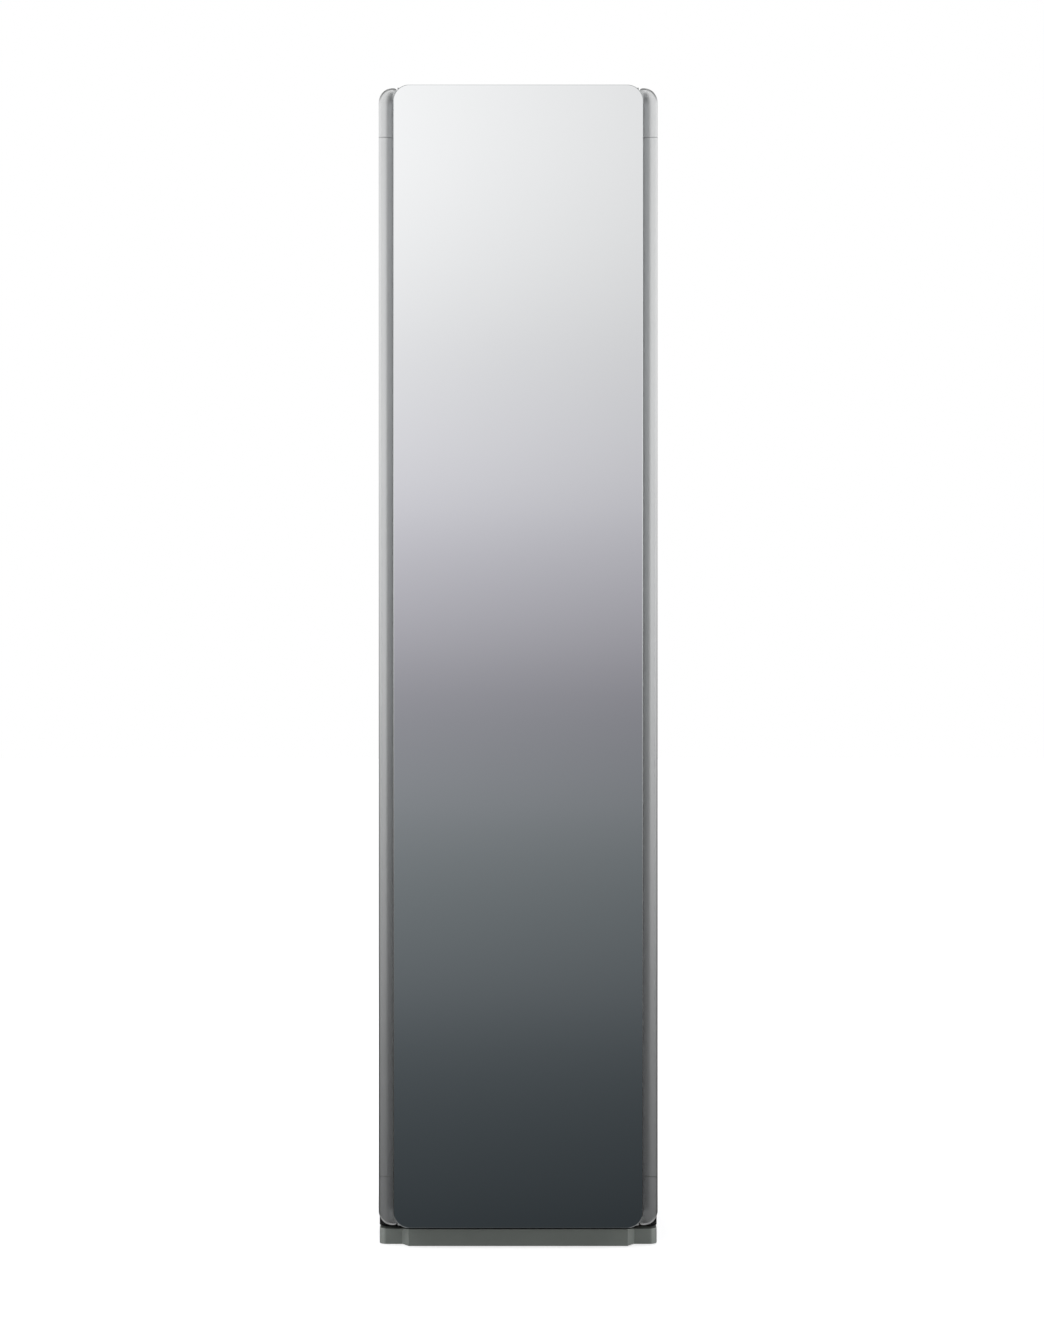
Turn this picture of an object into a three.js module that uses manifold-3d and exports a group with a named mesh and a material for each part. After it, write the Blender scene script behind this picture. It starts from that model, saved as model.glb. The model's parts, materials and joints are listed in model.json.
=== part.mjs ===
// Clothes care steam cabinet: a tall, narrow wardrobe with a mirror door, a shaking hanger bar,
// a trouser press inside the door, and a heat pump and steam generator under the garment cavity.
// Millimetres. X runs to the viewer's right, Y from the mirror to the wall, Z up from the floor.

import * as THREE from 'three';
import { mergeVertices } from 'three/addons/utils/BufferGeometryUtils.js';
import Module from 'manifold-3d';

const wasm = await Module();
wasm.setup();

// Driving dimensions
const overallWidth = 445;
const overallDepth = 585;
const overallHeight = 1850;
const seat = 0.3;
const runningGap = 2;
const overrun = 10;
const sheet = 1.5;
const moulding = 3;
const boardThickness = 1.6;

const side = overallWidth / 2;
const mirrorFace = -overallDepth / 2;
const wallFace = overallDepth / 2;

// Door, from the mirror back to the gasket
const doorMargin = 24.5;
const glass = {
  width: overallWidth - 2 * doorMargin,
  thickness: 4,
  corner: 25,
  floorGap: 38,
  bevel: 2.5,
  bevelDepth: 1,
};
const carrier = { depth: 21, inset: 3 };
const touch = { width: 60, height: 190, centre: 1150, margin: 1, pocket: 3 };
const door = {
  thickness: 60,
  topDrop: 1,
  bottomRise: 0.5,
  corner: 24,
  leastCorner: 0.5,
  liner: 3,
  gasketGap: 10,
};
const caps = { upper: 78.5, lower: 74.5, seam: 0.8, frontWall: 9 };
const trim = { width: 50.5, tuck: 2.5, gripDepth: 10, edge: 4 };
const liner = { sideInset: 6.5, topInset: 18, bottomInset: 16, corner: 18 };
const dyke = { height: 20, width: 20, sideGap: 6, topGap: 8, bottomGap: 16, corner: 22 };
const gasket = { sideInset: 17.5, topInset: 54, bottomInset: 28, width: 12, neck: 6, lip: 4, corner: 20 };

// Trouser press and its clip hanger, on the back of the door
const pressMargin = 82.5;
const pressBottom = 650;
const pressTopGap = 400;
const press = {
  width: overallWidth - 2 * pressMargin,
  height: overallHeight - pressTopGap - pressBottom,
  bottom: pressBottom,
  base: 10,
  gap: 6,
  lid: 12,
  corner: 12,
  crown: 3,
};
const knuckle = { offset: 10, radius: 6, bore: 3, pin: 2.7, setBack: 2.2, ear: 9.7, overhang: 10, depth: 8 };
const latch = { inset: 12, radius: 12, plate: 3, arm: 20, armWidth: 12, stem: 4, stemDepth: 6, play: 1.9 };
const catchHook = { gap: 2, reach: 8, post: 6, height: 20, lip: 4 };
const pegDrop = 294;
const peg = { height: overallHeight - pegDrop, thickness: 4, width: 5, reach: 14, tip: 3, tipRise: 12 };
const clipBarInset = 20;
const clipInset = 30;
const clipHanger = {
  ring: 10,
  ringWall: 3,
  thickness: 4,
  play: 0.8,
  standOff: 4,
  drop: 38,
  bar: press.width - 2 * clipBarInset,
  barHeight: 12,
};
const clip = { spacing: clipHanger.bar - 2 * clipInset, width: 28, height: 22, thickness: 11 };

// Water tanks and their bay, behind the lower part of the door
const tank = {
  height: 240,
  wall: 2.5,
  corner: 14,
  play: 1,
  frontInset: 4,
  lid: 6,
  lidLip: 3,
  filler: 14,
  drainInlet: 10,
};
const grip = { width: 90, height: 40, depth: 22, below: 16 };
const bayBottom = 98;
const bayWall = 3;
const bayHeadroom = 25.4;
const bay = {
  bottom: bayBottom,
  top: bayBottom + 2 * bayWall + 2 * seat + tank.height + tank.lid + bayHeadroom,
  front: 4.5,
  depth: 106,
  wall: bayWall,
  divider: 4,
  apronBottom: 40,
  apron: 6.5,
};

// Cabinet shell
const cavityMargin = 33.5;
const roofDepth = 110;
const floorRise = 54;
const cavity = {
  width: overallWidth - 2 * cavityMargin,
  floor: bay.top + floorRise,
  ceiling: overallHeight - roofDepth,
  backInset: 27.5,
};
const rearPanel = { emboss: 4.7, embossSide: 42, embossBottom: 480, embossTopDrop: 35 };
const louvre = { count: 9, width: 240, height: 9, pitch: 30, first: 110 };
const rearFlange = 17.5;
const topCover = { height: 30.7, corner: 26 };
const kickEnd = 47.1;
const kick = {
  floorGap: 2,
  height: 26,
  middle: overallWidth - 2 * kickEnd,
  ramp: 10.3,
  step: 20,
  corner: 12.5,
  setBack: 12.5,
  wall: 3,
  tail: 22,
};
const pan = { height: 32, wall: 2, floor: 2.7, boss: 14, bossHeight: 22 };
const footSideInset = 52.5;
const foot = {
  spread: overallWidth - 2 * footSideInset,
  frontInset: 37.5,
  rearInset: 41,
  radius: 20,
  pad: 6,
  neck: 12,
  stem: 5,
  stemTop: 48,
  nut: 9,
};
const footPlay = 0.3;
const skirtGap = 1.7;

// Hinges on the left-hand side
const hinge = { inset: 12.5, setBack: 14, plate: 4, nose: 9, neck: 10, pin: 4, pinPlay: 0.3, pinLength: 23 };
const upperHinge = { headroom: 5, ledgeGap: 3, width: 75, depth: 25, inset: 1, lap: 2 };
const lowerHinge = { rise: 6, ledgeGap: 3, leg: 3, legWidth: 14, legHeight: 60 };

// Garment cavity mouldings
const rib = { count: 6, width: 12, height: 1.5, taper: 3 };
const ceiling = { thickness: 3, apronDepth: 27.5, apronWall: 3 };
const cavityFloor = { thickness: 6, sillDepth: 8.7, sillDrop: 50 };
const bracketRise = 130;
const bracket = { height: 8, reach: 12, length: 40, frontInset: 70, top: cavity.floor + bracketRise };
const shelf = { thickness: 8, sideGap: 6, frontInset: 50, rearInset: 32, frame: 14, slots: 12, bar: 8 };
const lamp = { width: 120, depth: 20, height: 6, inset: 55, corner: 4 };

// Lint filter and aroma case, in wells at the front of the cavity floor
const well = { depth: 46, length: 50, frontInset: 20.7, wall: 2.5 };
const filterSideGap = 39;
const aromaSideGap = 29;
const aroma = { gap: 20, width: 50, vents: 5, ventWidth: 3, ventLength: 30, ventDepth: 12 };
const filter = {
  left: filterSideGap - cavity.width / 2,
  width: cavity.width - filterSideGap - aromaSideGap - aroma.gap - aroma.width,
  play: 2,
  wall: 2,
  rim: 6,
  grip: 60,
  gripHeight: 6,
  gripWidth: 8,
  windows: 10,
};
const filterWindow = { margin: 10, bottom: 6, height: 26, rib: 3 };

// Machine room
const ductSideGap = 39;
const ductRearGap = 172.5;
const ductDrop = { bottom: 130, neck: 50, blower: 72, windowBottom: 40, windowTop: 13 };
const duct = {
  width: cavity.width - 2 * ductSideGap,
  rear: overallDepth / 2 - ductRearGap,
  bottom: cavity.floor - ductDrop.bottom,
  neckBottom: cavity.floor - ductDrop.neck,
  wall: 3,
};
const ductWindow = {
  bottom: cavity.floor - ductDrop.windowBottom,
  top: cavity.floor - ductDrop.windowTop,
  margin: 10,
};
const coil = { plate: 8, fins: 24, fin: 2, inset: 10, headroom: 4 };
const coilRun = { frontGap: 20, evaporator: 62, middleGap: 18, condenser: 86, rearGap: 46 };
const blowerSideGap = 119;
const blower = {
  x: cavity.width / 2 - blowerSideGap,
  z: cavity.floor - ductDrop.blower,
  start: 58,
  end: 80,
  depth: 68,
  wall: 3,
  inlet: 46,
  chimney: 51,
  motor: 38,
  motorDepth: 48,
};
const impeller = {
  radius: 50,
  hub: 14,
  width: 50,
  plate: 2,
  blades: 18,
  blade: 2,
  inner: 36,
  shaft: 5.5,
  shaftLength: 18,
};
const outletGrille = { slots: 6, inset: 4, bar: 4 };
const compressorRearGap = 122.5;
const compressor = {
  x: -95,
  y: overallDepth / 2 - compressorRearGap,
  radius: 68,
  bottom: 46,
  top: 240,
  dome: 34,
  plate: 76,
  plateHeight: 4,
  rubber: 9,
};
const rubberShare = 0.72;
const steamTank = {
  x: 95,
  frontGap: 20,
  width: 130,
  depth: 104,
  height: 118,
  corner: 16,
  ribs: 4,
  rib: 4,
  spigot: 9,
  spigotHeight: 14,
};
const steamHose = { radius: 7, sides: 10, steps: 34 };
const nozzle = {
  x: -60,
  rearGap: 47,
  cap: 26,
  capHeight: 10,
  stem: 13,
  play: 1,
  stemLength: 24,
  slots: 8,
  slotWidth: 4,
  slotHeight: 3,
};
const nozzleShoulderShare = 0.8;
const pump = { x: -120, frontGap: 27, radius: 30, height: 62, spigot: 8, spigotLength: 24, spigotHeight: 20 };
const gasPipe = { radius: 4, sides: 8, steps: 30 };
const controls = {
  width: 200,
  motorGap: 17,
  height: 46,
  corner: 6,
  rearGap: 6,
  fins: 9,
  fin: 3,
  finDepth: 5,
};

// Shaking drive above the ceiling
const driveRise = { plate: 32, lip: 11.7, disc: 24 };
const drive = {
  y: 22,
  width: 220,
  plate: 3,
  plateBottom: cavity.ceiling + driveRise.plate,
  halfGap: 28.3,
  wall: 3.7,
  lip: 10.3,
  lipTop: cavity.ceiling + driveRise.lip,
  lipThickness: 3.7,
};
const driveFoot = { width: 16, thickness: 3 };
const crank = {
  throw: 12,
  pulley: 45,
  disc: 19,
  discTop: cavity.ceiling + driveRise.disc,
  discHeight: 5,
  pin: 5,
  shaft: 6,
};
const motor = { distance: 115, radius: 36, pulley: 14, shaft: 4, plateMargin: 18, rim: 3 };
const pulley = { lift: 1, height: 12, flange: 1.5, flangeRise: 3 };
const belt = { thickness: 1.5, height: 8 };
const carriage = { length: 180, halfWidth: 28, thickness: 5, slotPlay: 0.5, pinLift: 0.5 };
const stem = { spread: 120, radius: 7 };
const barDrop = 50;
const barEndGap = 39;
const bar = {
  height: cavity.ceiling - barDrop,
  radius: 9,
  length: cavity.width - 2 * barEndGap,
  groove: 7.5,
  grooveWidth: 8,
  end: 3,
};
const shakeTravel = 12;

// Clothes hangers
const hangerEndGap = 40;
const hangerWallGap = 87.5;
const trouserBarInset = 33;
const hanger = {
  spacing: bar.length / 2 - hangerEndGap,
  span: overallDepth - 2 * hangerWallGap,
  neckDrop: 50,
  shoulderDrop: 75,
  neckHalf: 8,
  endHalf: 18,
  neckThick: 9,
  endThick: 6,
};
const hook = { wire: 2.5, play: 0.5, sides: 6, steps: 14, tipAngle: 205 };
const trouserBar = { halfLength: hanger.span / 2 - trouserBarInset, radius: 5, sink: 4 };
const shoulderCurveShare = 1.4;
const shoulderRings = 12;
const shoulderSides = 8;

// Number of flats on round pieces
const cornerSteps = 5;
const fineSides = 32;
const coarseSides = 20;
const smallSides = 12;

// Planes that several pieces share
const doorTop = overallHeight - door.topDrop;
const doorBottom = glass.floorGap + door.bottomRise;
const doorBack = mirrorFace + door.thickness;
const carrierFront = mirrorFace + glass.thickness + seat;
const carrierBack = carrierFront + carrier.depth;
const bodyFront = carrierBack + seat;
const bodyBack = doorBack - door.liner - seat;
const cabinetFront = doorBack + door.gasketGap;
const cabinetTop = doorTop;
const rearSheetBack = wallFace - rearPanel.emboss;
const panelRear = rearSheetBack - sheet - seat;
const panTop = kick.floorGap + kick.height + seat + pan.height;
const panBottom = panTop - pan.height;
const panelBottom = panBottom + skirtGap;
const panelTop = cabinetTop - topCover.height - seat;
const cavityHalf = cavity.width / 2;
const innerWallOuter = cavityHalf + moulding;
const cavityFront = cabinetFront + sheet + seat;
const backWallFace = wallFace - cavity.backInset - moulding;
const ceilingTop = cavity.ceiling + ceiling.thickness;
const floorUnderside = cavity.floor - cavityFloor.thickness;
const hingeX = hinge.inset - side;
const hingeY = doorBack - hinge.setBack;
const hingePlateTop = cabinetTop - moulding - upperHinge.headroom;
const hingePlateBottom = hingePlateTop - hinge.plate;
const apronTop = hingePlateBottom - seat;
const bayFront = cabinetFront + bay.front;
const bayBack = bayFront + bay.depth;
const wellFront = cabinetFront + well.frontInset;
const steamTankY = bayBack + steamTank.frontGap + steamTank.depth / 2;
const pumpY = bayBack + pump.frontGap + pump.radius;
const nozzleY = backWallFace - nozzle.rearGap;
const pulleyBottom = drive.plateBottom + drive.plate + pulley.lift;
const carriageBottom = drive.lipTop + seat;
const carriageTop = carriageBottom + carriage.thickness;
const plateTop = drive.plateBottom + drive.plate;

// Geometry helpers

// Turns a three.js geometry into a solid: only positions, shared corners merged, faces outwards.
function toSolid(geometry) {
  geometry.deleteAttribute('normal');
  geometry.deleteAttribute('uv');
  const merged = mergeVertices(geometry);
  const points = merged.attributes.position.array;
  const corners = [];
  let sixVolumes = 0;
  for (let i = 0; i < merged.index.count; i += 3) {
    const triangle = [0, 1, 2].map((k) => merged.index.array[i + k]);
    if (new Set(triangle).size === 3) {
      const [a, b, c] = triangle.map((v) => new THREE.Vector3().fromArray(points, 3 * v));
      sixVolumes += a.dot(b.cross(c));
      corners.push(triangle);
    }
  }
  const outward = corners.map(([a, b, c]) => (sixVolumes > 0 ? [a, b, c] : [a, c, b]));
  const triVerts = new Uint32Array(outward.flat());
  return new wasm.Manifold(new wasm.Mesh({ numProp: 3, vertProperties: points, triVerts }));
}

function toGeometry(solid) {
  const { vertProperties, triVerts } = solid.getMesh();
  const geometry = new THREE.BufferGeometry();
  geometry.setAttribute('position', new THREE.BufferAttribute(vertProperties, 3));
  geometry.setIndex(new THREE.BufferAttribute(triVerts, 1));
  geometry.computeVertexNormals();
  return geometry;
}

const join = (first, ...others) => others.reduce((whole, next) => whole.add(next), first);
const cut = (body, ...tools) => tools.reduce((whole, tool) => whole.subtract(tool), body);
const about = (middle, length) => [middle - length / 2, middle + length / 2];
const from = (start, length) => [start, start + length];
const repeat = (count, make) => Array.from({ length: count }, (_, i) => make(i));
const mirrored = (points, hand) => points.map(([u, v]) => [u * hand, v]);

function block(xs, ys, zs) {
  const [[x0, x1], [y0, y1], [z0, z1]] = [xs, ys, zs].map((ends) => [...ends].sort((a, b) => a - b));
  const geometry = new THREE.BoxGeometry(x1 - x0, y1 - y0, z1 - z0);
  geometry.translate((x0 + x1) / 2, (y0 + y1) / 2, (z0 + z1) / 2);
  return toSolid(geometry);
}

// Points of an arc, in degrees from the first axis of its plane.
function arc([u, v], radius, start, end, steps) {
  return repeat(steps + 1, (i) => {
    const angle = THREE.MathUtils.degToRad(start + ((end - start) * i) / steps);
    return [u + radius * Math.cos(angle), v + radius * Math.sin(angle)];
  });
}

const circle = (middle, radius, sides) => arc(middle, radius, 0, 360 - 360 / sides, sides - 1);

function roundedRectangle([left, right], [low, high], radius, steps = cornerSteps) {
  return [
    ...arc([right - radius, low + radius], radius, -90, 0, steps),
    ...arc([right - radius, high - radius], radius, 0, 90, steps),
    ...arc([left + radius, high - radius], radius, 90, 180, steps),
    ...arc([left + radius, low + radius], radius, 180, 270, steps),
  ];
}

// Where a flat outline lies: along z it is drawn in X and Y, along y in X and Z, along x in Y and Z.
function onAxis(axis) {
  const unit = {
    x: new THREE.Vector3(1, 0, 0),
    y: new THREE.Vector3(0, 1, 0),
    z: new THREE.Vector3(0, 0, 1),
  };
  const frames = {
    z: [unit.x, unit.y, unit.z],
    y: [unit.x, unit.z, unit.y.clone().negate()],
    x: [unit.y, unit.z, unit.x],
  };
  return new THREE.Matrix4().makeBasis(...frames[axis]);
}

function prism(points, axis, [start, end]) {
  const shape = new THREE.Shape(points.map(([u, v]) => new THREE.Vector2(u, v)));
  const geometry = new THREE.ExtrudeGeometry(shape, { depth: end - start, bevelEnabled: false });
  geometry.translate(0, 0, axis === 'y' ? -end : start);
  geometry.applyMatrix4(onAxis(axis));
  return toSolid(geometry);
}

const rod = (axis, middle, radius, ends, sides = coarseSides) => prism(
  circle(middle, radius, sides),
  axis,
  ends,
);

// A body turned about an upright axis: profile pairs are radius and height.
function turned(profile, [x, y], sides = fineSides) {
  const geometry = new THREE.LatheGeometry(profile.map(([r, h]) => new THREE.Vector2(r, h)), sides);
  geometry.rotateX(Math.PI / 2);
  geometry.translate(x, y, 0);
  return toSolid(geometry);
}

// A bar turned about an axis along X: profile pairs are radius and distance along X.
function turnedAlongX(profile, [y, z], sides) {
  const geometry = new THREE.LatheGeometry(profile.map(([r, h]) => new THREE.Vector2(r, h)), sides);
  geometry.rotateZ(-Math.PI / 2);
  geometry.translate(0, y, z);
  return toSolid(geometry);
}

function pipe(points, radius, sides, steps) {
  const path = new THREE.CatmullRomCurve3(points.map((p) => new THREE.Vector3(...p)));
  const section = new THREE.Shape(circle([0, 0], radius, sides).map(([u, v]) => new THREE.Vector2(u, v)));
  return toSolid(new THREE.ExtrudeGeometry(section, { steps, extrudePath: path, bevelEnabled: false }));
}

// Skin over a row of rings that all have the same number of points, closed by a flat fan at each end.
function skin(rings) {
  const count = rings[0].length;
  const middle = (ring) => ring.reduce((sum, p) => sum.map((s, k) => s + p[k] / count), [0, 0, 0]);
  const positions = [...rings.flat(2), ...middle(rings[0]), ...middle(rings.at(-1))];
  const index = [];
  for (let ring = 0; ring + 1 < rings.length; ring += 1) {
    for (let i = 0; i < count; i += 1) {
      const a = ring * count + i;
      const b = ring * count + ((i + 1) % count);
      index.push(a, b, b + count, a, b + count, a + count);
    }
  }
  const firstMiddle = rings.length * count;
  const lastRing = (rings.length - 1) * count;
  for (let i = 0; i < count; i += 1) {
    const next = (i + 1) % count;
    index.push(firstMiddle, next, i, firstMiddle + 1, lastRing + i, lastRing + next);
  }
  const geometry = new THREE.BufferGeometry();
  geometry.setAttribute('position', new THREE.Float32BufferAttribute(positions, 3));
  geometry.setIndex(index);
  return toSolid(geometry);
}

const atDepth = (points, y) => points.map(([x, z]) => [x, y, z]);
const atHeight = (points, z) => points.map(([x, y]) => [x, y, z]);

// Door

function mirrorGlass() {
  const outlineInset = (inset) => roundedRectangle(
    about(0, glass.width - 2 * inset),
    [glass.floorGap + inset, overallHeight - inset],
    glass.corner - inset,
  );
  return skin([
    atDepth(outlineInset(glass.bevel), mirrorFace),
    atDepth(outlineInset(0), mirrorFace + glass.bevelDepth),
    atDepth(outlineInset(0), mirrorFace + glass.thickness),
  ]);
}

function mirrorCarrier() {
  const outline = roundedRectangle(
    about(0, glass.width - 2 * carrier.inset),
    [glass.floorGap + carrier.inset, overallHeight - carrier.inset],
    glass.corner - carrier.inset,
  );
  const pocket = block(
    about(0, touch.width + 2 * touch.margin),
    [carrierFront - overrun, carrierFront + touch.pocket],
    about(touch.centre, touch.height + 2 * touch.margin),
  );
  return cut(prism(outline, 'y', [carrierFront, carrierBack]), pocket);
}

function touchBoard() {
  const back = carrierFront + touch.pocket - seat;
  return block(about(0, touch.width), [back - boardThickness, back], about(touch.centre, touch.height));
}

// Whole door body before it is parted: the rounded rim and the grip scoop follow its outline all round.
function doorBody() {
  const ring = (inset, y) => atDepth(roundedRectangle(
    [inset - side, side - inset],
    [doorBottom + inset, doorTop - inset],
    Math.max(door.corner - inset, door.leastCorner),
  ), y);
  const scoopInset = side - glass.width / 2 + carrier.inset + trim.tuck;
  const rim = arc([trim.edge, bodyFront + trim.edge], trim.edge, 180, 270, cornerSteps);
  const scoopSteps = 7;
  const scoop = repeat(scoopSteps, (i) => {
    const share = (i + 1) / scoopSteps;
    return [trim.edge + (scoopInset - trim.edge) * share, bodyFront + trim.gripDepth * share ** 2];
  });
  const section = [[0, bodyBack], ...rim, ...scoop, [scoopInset, bodyFront]];
  return skin(section.map(([inset, y]) => ring(inset, y)));
}

const wholeDoorBody = doorBody();
const doorDepths = [bodyFront - overrun, bodyBack + overrun];

function doorSideTrim(hand) {
  const ends = [doorBottom + caps.lower + caps.seam, doorTop - caps.upper - caps.seam];
  return wholeDoorBody.intersect(block(
    [hand * (side - trim.width), hand * (side + overrun)],
    doorDepths,
    ends,
  ));
}

function doorCap(heights, [ledgeLow, ledgeHigh], [holeLow, holeHigh]) {
  const body = wholeDoorBody.intersect(block([-side - overrun, side + overrun], doorDepths, heights));
  const ledge = block(
    [-side - overrun, side + overrun],
    [bodyFront + caps.frontWall, bodyBack + overrun],
    [ledgeLow, ledgeHigh],
  );
  const hole = rod('z', [hingeX, hingeY], hinge.pin + hinge.pinPlay, [holeLow, holeHigh]);
  return cut(body, ledge, hole);
}

function doorUpperCap() {
  const ledge = hingePlateBottom - upperHinge.ledgeGap;
  const holeEnd = hingePlateTop - hinge.plate - hinge.pinLength - runningGap;
  return doorCap([doorTop - caps.upper, doorTop + overrun], [ledge, doorTop + overrun], [holeEnd, doorTop]);
}

const lowerPlateBottom = doorBottom + lowerHinge.rise;
const lowerPlateTop = lowerPlateBottom + hinge.plate;

function doorLowerCap() {
  const ledge = lowerPlateTop + lowerHinge.ledgeGap;
  const holeEnd = lowerPlateTop + hinge.pinLength + runningGap;
  return doorCap(
    [doorBottom - overrun, doorBottom + caps.lower],
    [doorBottom - overrun, ledge],
    [doorBottom, holeEnd],
  );
}

function doorCore() {
  return block(
    about(0, 2 * (side - trim.width - seat)),
    [bodyFront, bodyBack],
    [doorBottom + caps.lower + seat, doorTop - caps.upper - seat],
  );
}

function doorInnerLiner() {
  const plate = prism(
    roundedRectangle(
      about(0, 2 * (side - liner.sideInset)),
      [doorBottom + liner.bottomInset, doorTop - liner.topInset],
      liner.corner,
    ),
    'y',
    [doorBack - door.liner, doorBack],
  );
  const dykeRing = (inset, corner, ends) => prism(
    roundedRectangle(
      about(0, cavity.width - 2 * (dyke.sideGap + inset)),
      [cavity.floor + dyke.bottomGap + inset, cavity.ceiling - dyke.topGap - inset],
      corner,
    ),
    'y',
    ends,
  );
  const outer = dykeRing(0, dyke.corner, [doorBack - door.liner, doorBack + dyke.height]);
  const inner = dykeRing(dyke.width, dyke.corner / 2, [doorBack, doorBack + dyke.height + overrun]);
  const pegBar = block(
    about(0, peg.width),
    [doorBack - door.liner, doorBack + peg.reach],
    from(peg.height, peg.thickness),
  );
  const pegTip = block(
    about(0, peg.width),
    [doorBack + peg.reach - peg.tip, doorBack + peg.reach],
    from(peg.height, peg.tipRise),
  );
  return join(plate, cut(outer, inner), pegBar, pegTip);
}

function doorGasket() {
  const ring = (outerInset, width, ends) => {
    const outline = (inset) => roundedRectangle(
      about(0, 2 * (side - gasket.sideInset - inset)),
      [doorBottom + gasket.bottomInset + inset, doorTop - gasket.topInset - inset],
      gasket.corner - inset,
    );
    const widened = [ends[0] - overrun, ends[1] + overrun];
    return cut(prism(outline(outerInset), 'y', ends), prism(outline(outerInset + width), 'y', widened));
  };
  const lipFront = cabinetFront - seat - gasket.lip;
  const neckInset = (gasket.width - gasket.neck) / 2;
  return join(
    ring(0, gasket.width, [lipFront, cabinetFront - seat]),
    ring(neckInset, gasket.neck, [doorBack + seat, lipFront + seat]),
  );
}

// Trouser press

const pressBaseBack = doorBack + seat + press.base;
const pressLidFront = pressBaseBack + press.gap;
const pressLidBack = pressLidFront + press.lid;
const pressHeights = from(press.bottom, press.height);
const knuckleX = -press.width / 2 - knuckle.offset;
const knuckleY = pressLidFront + knuckle.setBack;
const latchX = press.width / 2 - latch.inset;
const latchZ = press.bottom + press.height / 2;

function pressBase() {
  const pad = prism(
    roundedRectangle(about(0, press.width), pressHeights, press.corner),
    'y',
    [doorBack + seat, pressBaseBack],
  );
  const barrelEnds = [pressHeights[0] - knuckle.overhang, pressHeights[1] + knuckle.overhang];
  const ear = (end, outward) => {
    const earStart = end + outward * seat;
    const body = block(
      about(knuckleX, 2 * (knuckle.radius + 1)),
      [doorBack + seat, knuckleY + knuckle.radius],
      [earStart, earStart + outward * knuckle.ear],
    );
    const strap = block(
      [knuckleX, -press.width / 2 + press.corner],
      [doorBack + seat, pressBaseBack],
      [end - outward * (knuckle.overhang + press.corner), earStart + outward * knuckle.ear],
    );
    const pinEnds = [earStart, end - outward * knuckle.depth].sort((a, b) => a - b);
    return join(body, strap, rod('z', [knuckleX, knuckleY], knuckle.pin, pinEnds, smallSides));
  };
  const postX = latchX + latch.arm + catchHook.gap;
  const lipFront = pressLidBack + seat + latch.plate + latch.play;
  const post = block(
    from(postX, catchHook.post),
    [doorBack + seat, lipFront + catchHook.lip],
    about(latchZ, catchHook.height),
  );
  const foothold = block(
    [latchX, postX + catchHook.post],
    [doorBack + seat, pressBaseBack],
    about(latchZ, catchHook.height),
  );
  const lip = block(
    [postX - catchHook.reach, postX],
    from(lipFront, catchHook.lip),
    about(latchZ, catchHook.height),
  );
  return join(pad, ear(barrelEnds[0], -1), ear(barrelEnds[1], 1), foothold, post, lip);
}

function pressLid() {
  const outline = (inset) => roundedRectangle(
    about(0, press.width - 2 * inset),
    [pressHeights[0] + inset, pressHeights[1] - inset],
    press.corner - inset,
  );
  const board = skin([
    atDepth(outline(0), pressLidFront),
    atDepth(outline(0), pressLidBack - press.crown),
    atDepth(outline(press.crown), pressLidBack),
  ]);
  const barrelEnds = [pressHeights[0] - knuckle.overhang, pressHeights[1] + knuckle.overhang];
  const barrel = rod('z', [knuckleX, knuckleY], knuckle.radius, barrelEnds, smallSides);
  const web = block(
    [knuckleX, -press.width / 2 + press.corner],
    [pressLidFront, pressLidBack - press.crown],
    [pressHeights[0] + press.corner, pressHeights[1] - press.corner],
  );
  const bore = (end, outward) => {
    const ends = [
      end + outward * overrun,
      end - outward * (knuckle.depth + runningGap),
    ].sort((a, b) => a - b);
    return rod('z', [knuckleX, knuckleY], knuckle.bore, ends, smallSides);
  };
  const stemHole = rod(
    'y',
    [latchX, latchZ],
    latch.stem + seat,
    [pressLidBack - latch.stemDepth - seat, pressLidBack + overrun],
    smallSides,
  );
  return cut(join(board, barrel, web), bore(barrelEnds[0], -1), bore(barrelEnds[1], 1), stemHole);
}

function pressLatch() {
  const front = pressLidBack + seat;
  const disc = rod('y', [latchX, latchZ], latch.radius, [front, front + latch.plate]);
  const stemPin = rod(
    'y',
    [latchX, latchZ],
    latch.stem,
    [pressLidBack - latch.stemDepth, front + latch.plate],
    smallSides,
  );
  const arm = block(
    about(latchX, latch.armWidth),
    [front, front + latch.plate],
    [latchZ - latch.arm, latchZ],
  );
  const thumb = block(
    about(latchX, latch.plate),
    [front, front + 2 * latch.plate],
    about(latchZ, latch.radius),
  );
  return join(disc, stemPin, arm, thumb);
}

function trouserHanger() {
  const ringZ = peg.height + peg.thickness + clipHanger.play - clipHanger.ring;
  const ys = from(doorBack + clipHanger.standOff, clipHanger.thickness);
  const ring = cut(
    rod('y', [0, ringZ], clipHanger.ring + clipHanger.ringWall, ys),
    rod('y', [0, ringZ], clipHanger.ring, [ys[0] - overrun, ys[1] + overrun]),
  );
  const barTop = ringZ - clipHanger.drop + clipHanger.barHeight;
  const neck = block(
    about(0, clipHanger.ring),
    ys,
    [barTop - clipHanger.barHeight / 2, ringZ - clipHanger.ring - seat],
  );
  const rail = block(about(0, clipHanger.bar), ys, from(barTop - clipHanger.barHeight, clipHanger.barHeight));
  const clips = [-1, 1].map((hand) => block(
    about((hand * clip.spacing) / 2, clip.width),
    about((ys[0] + ys[1]) / 2, clip.thickness),
    from(barTop - clipHanger.barHeight - clip.height / 2, clip.height),
  ));
  return join(ring, neck, rail, ...clips);
}

// Shell

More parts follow.
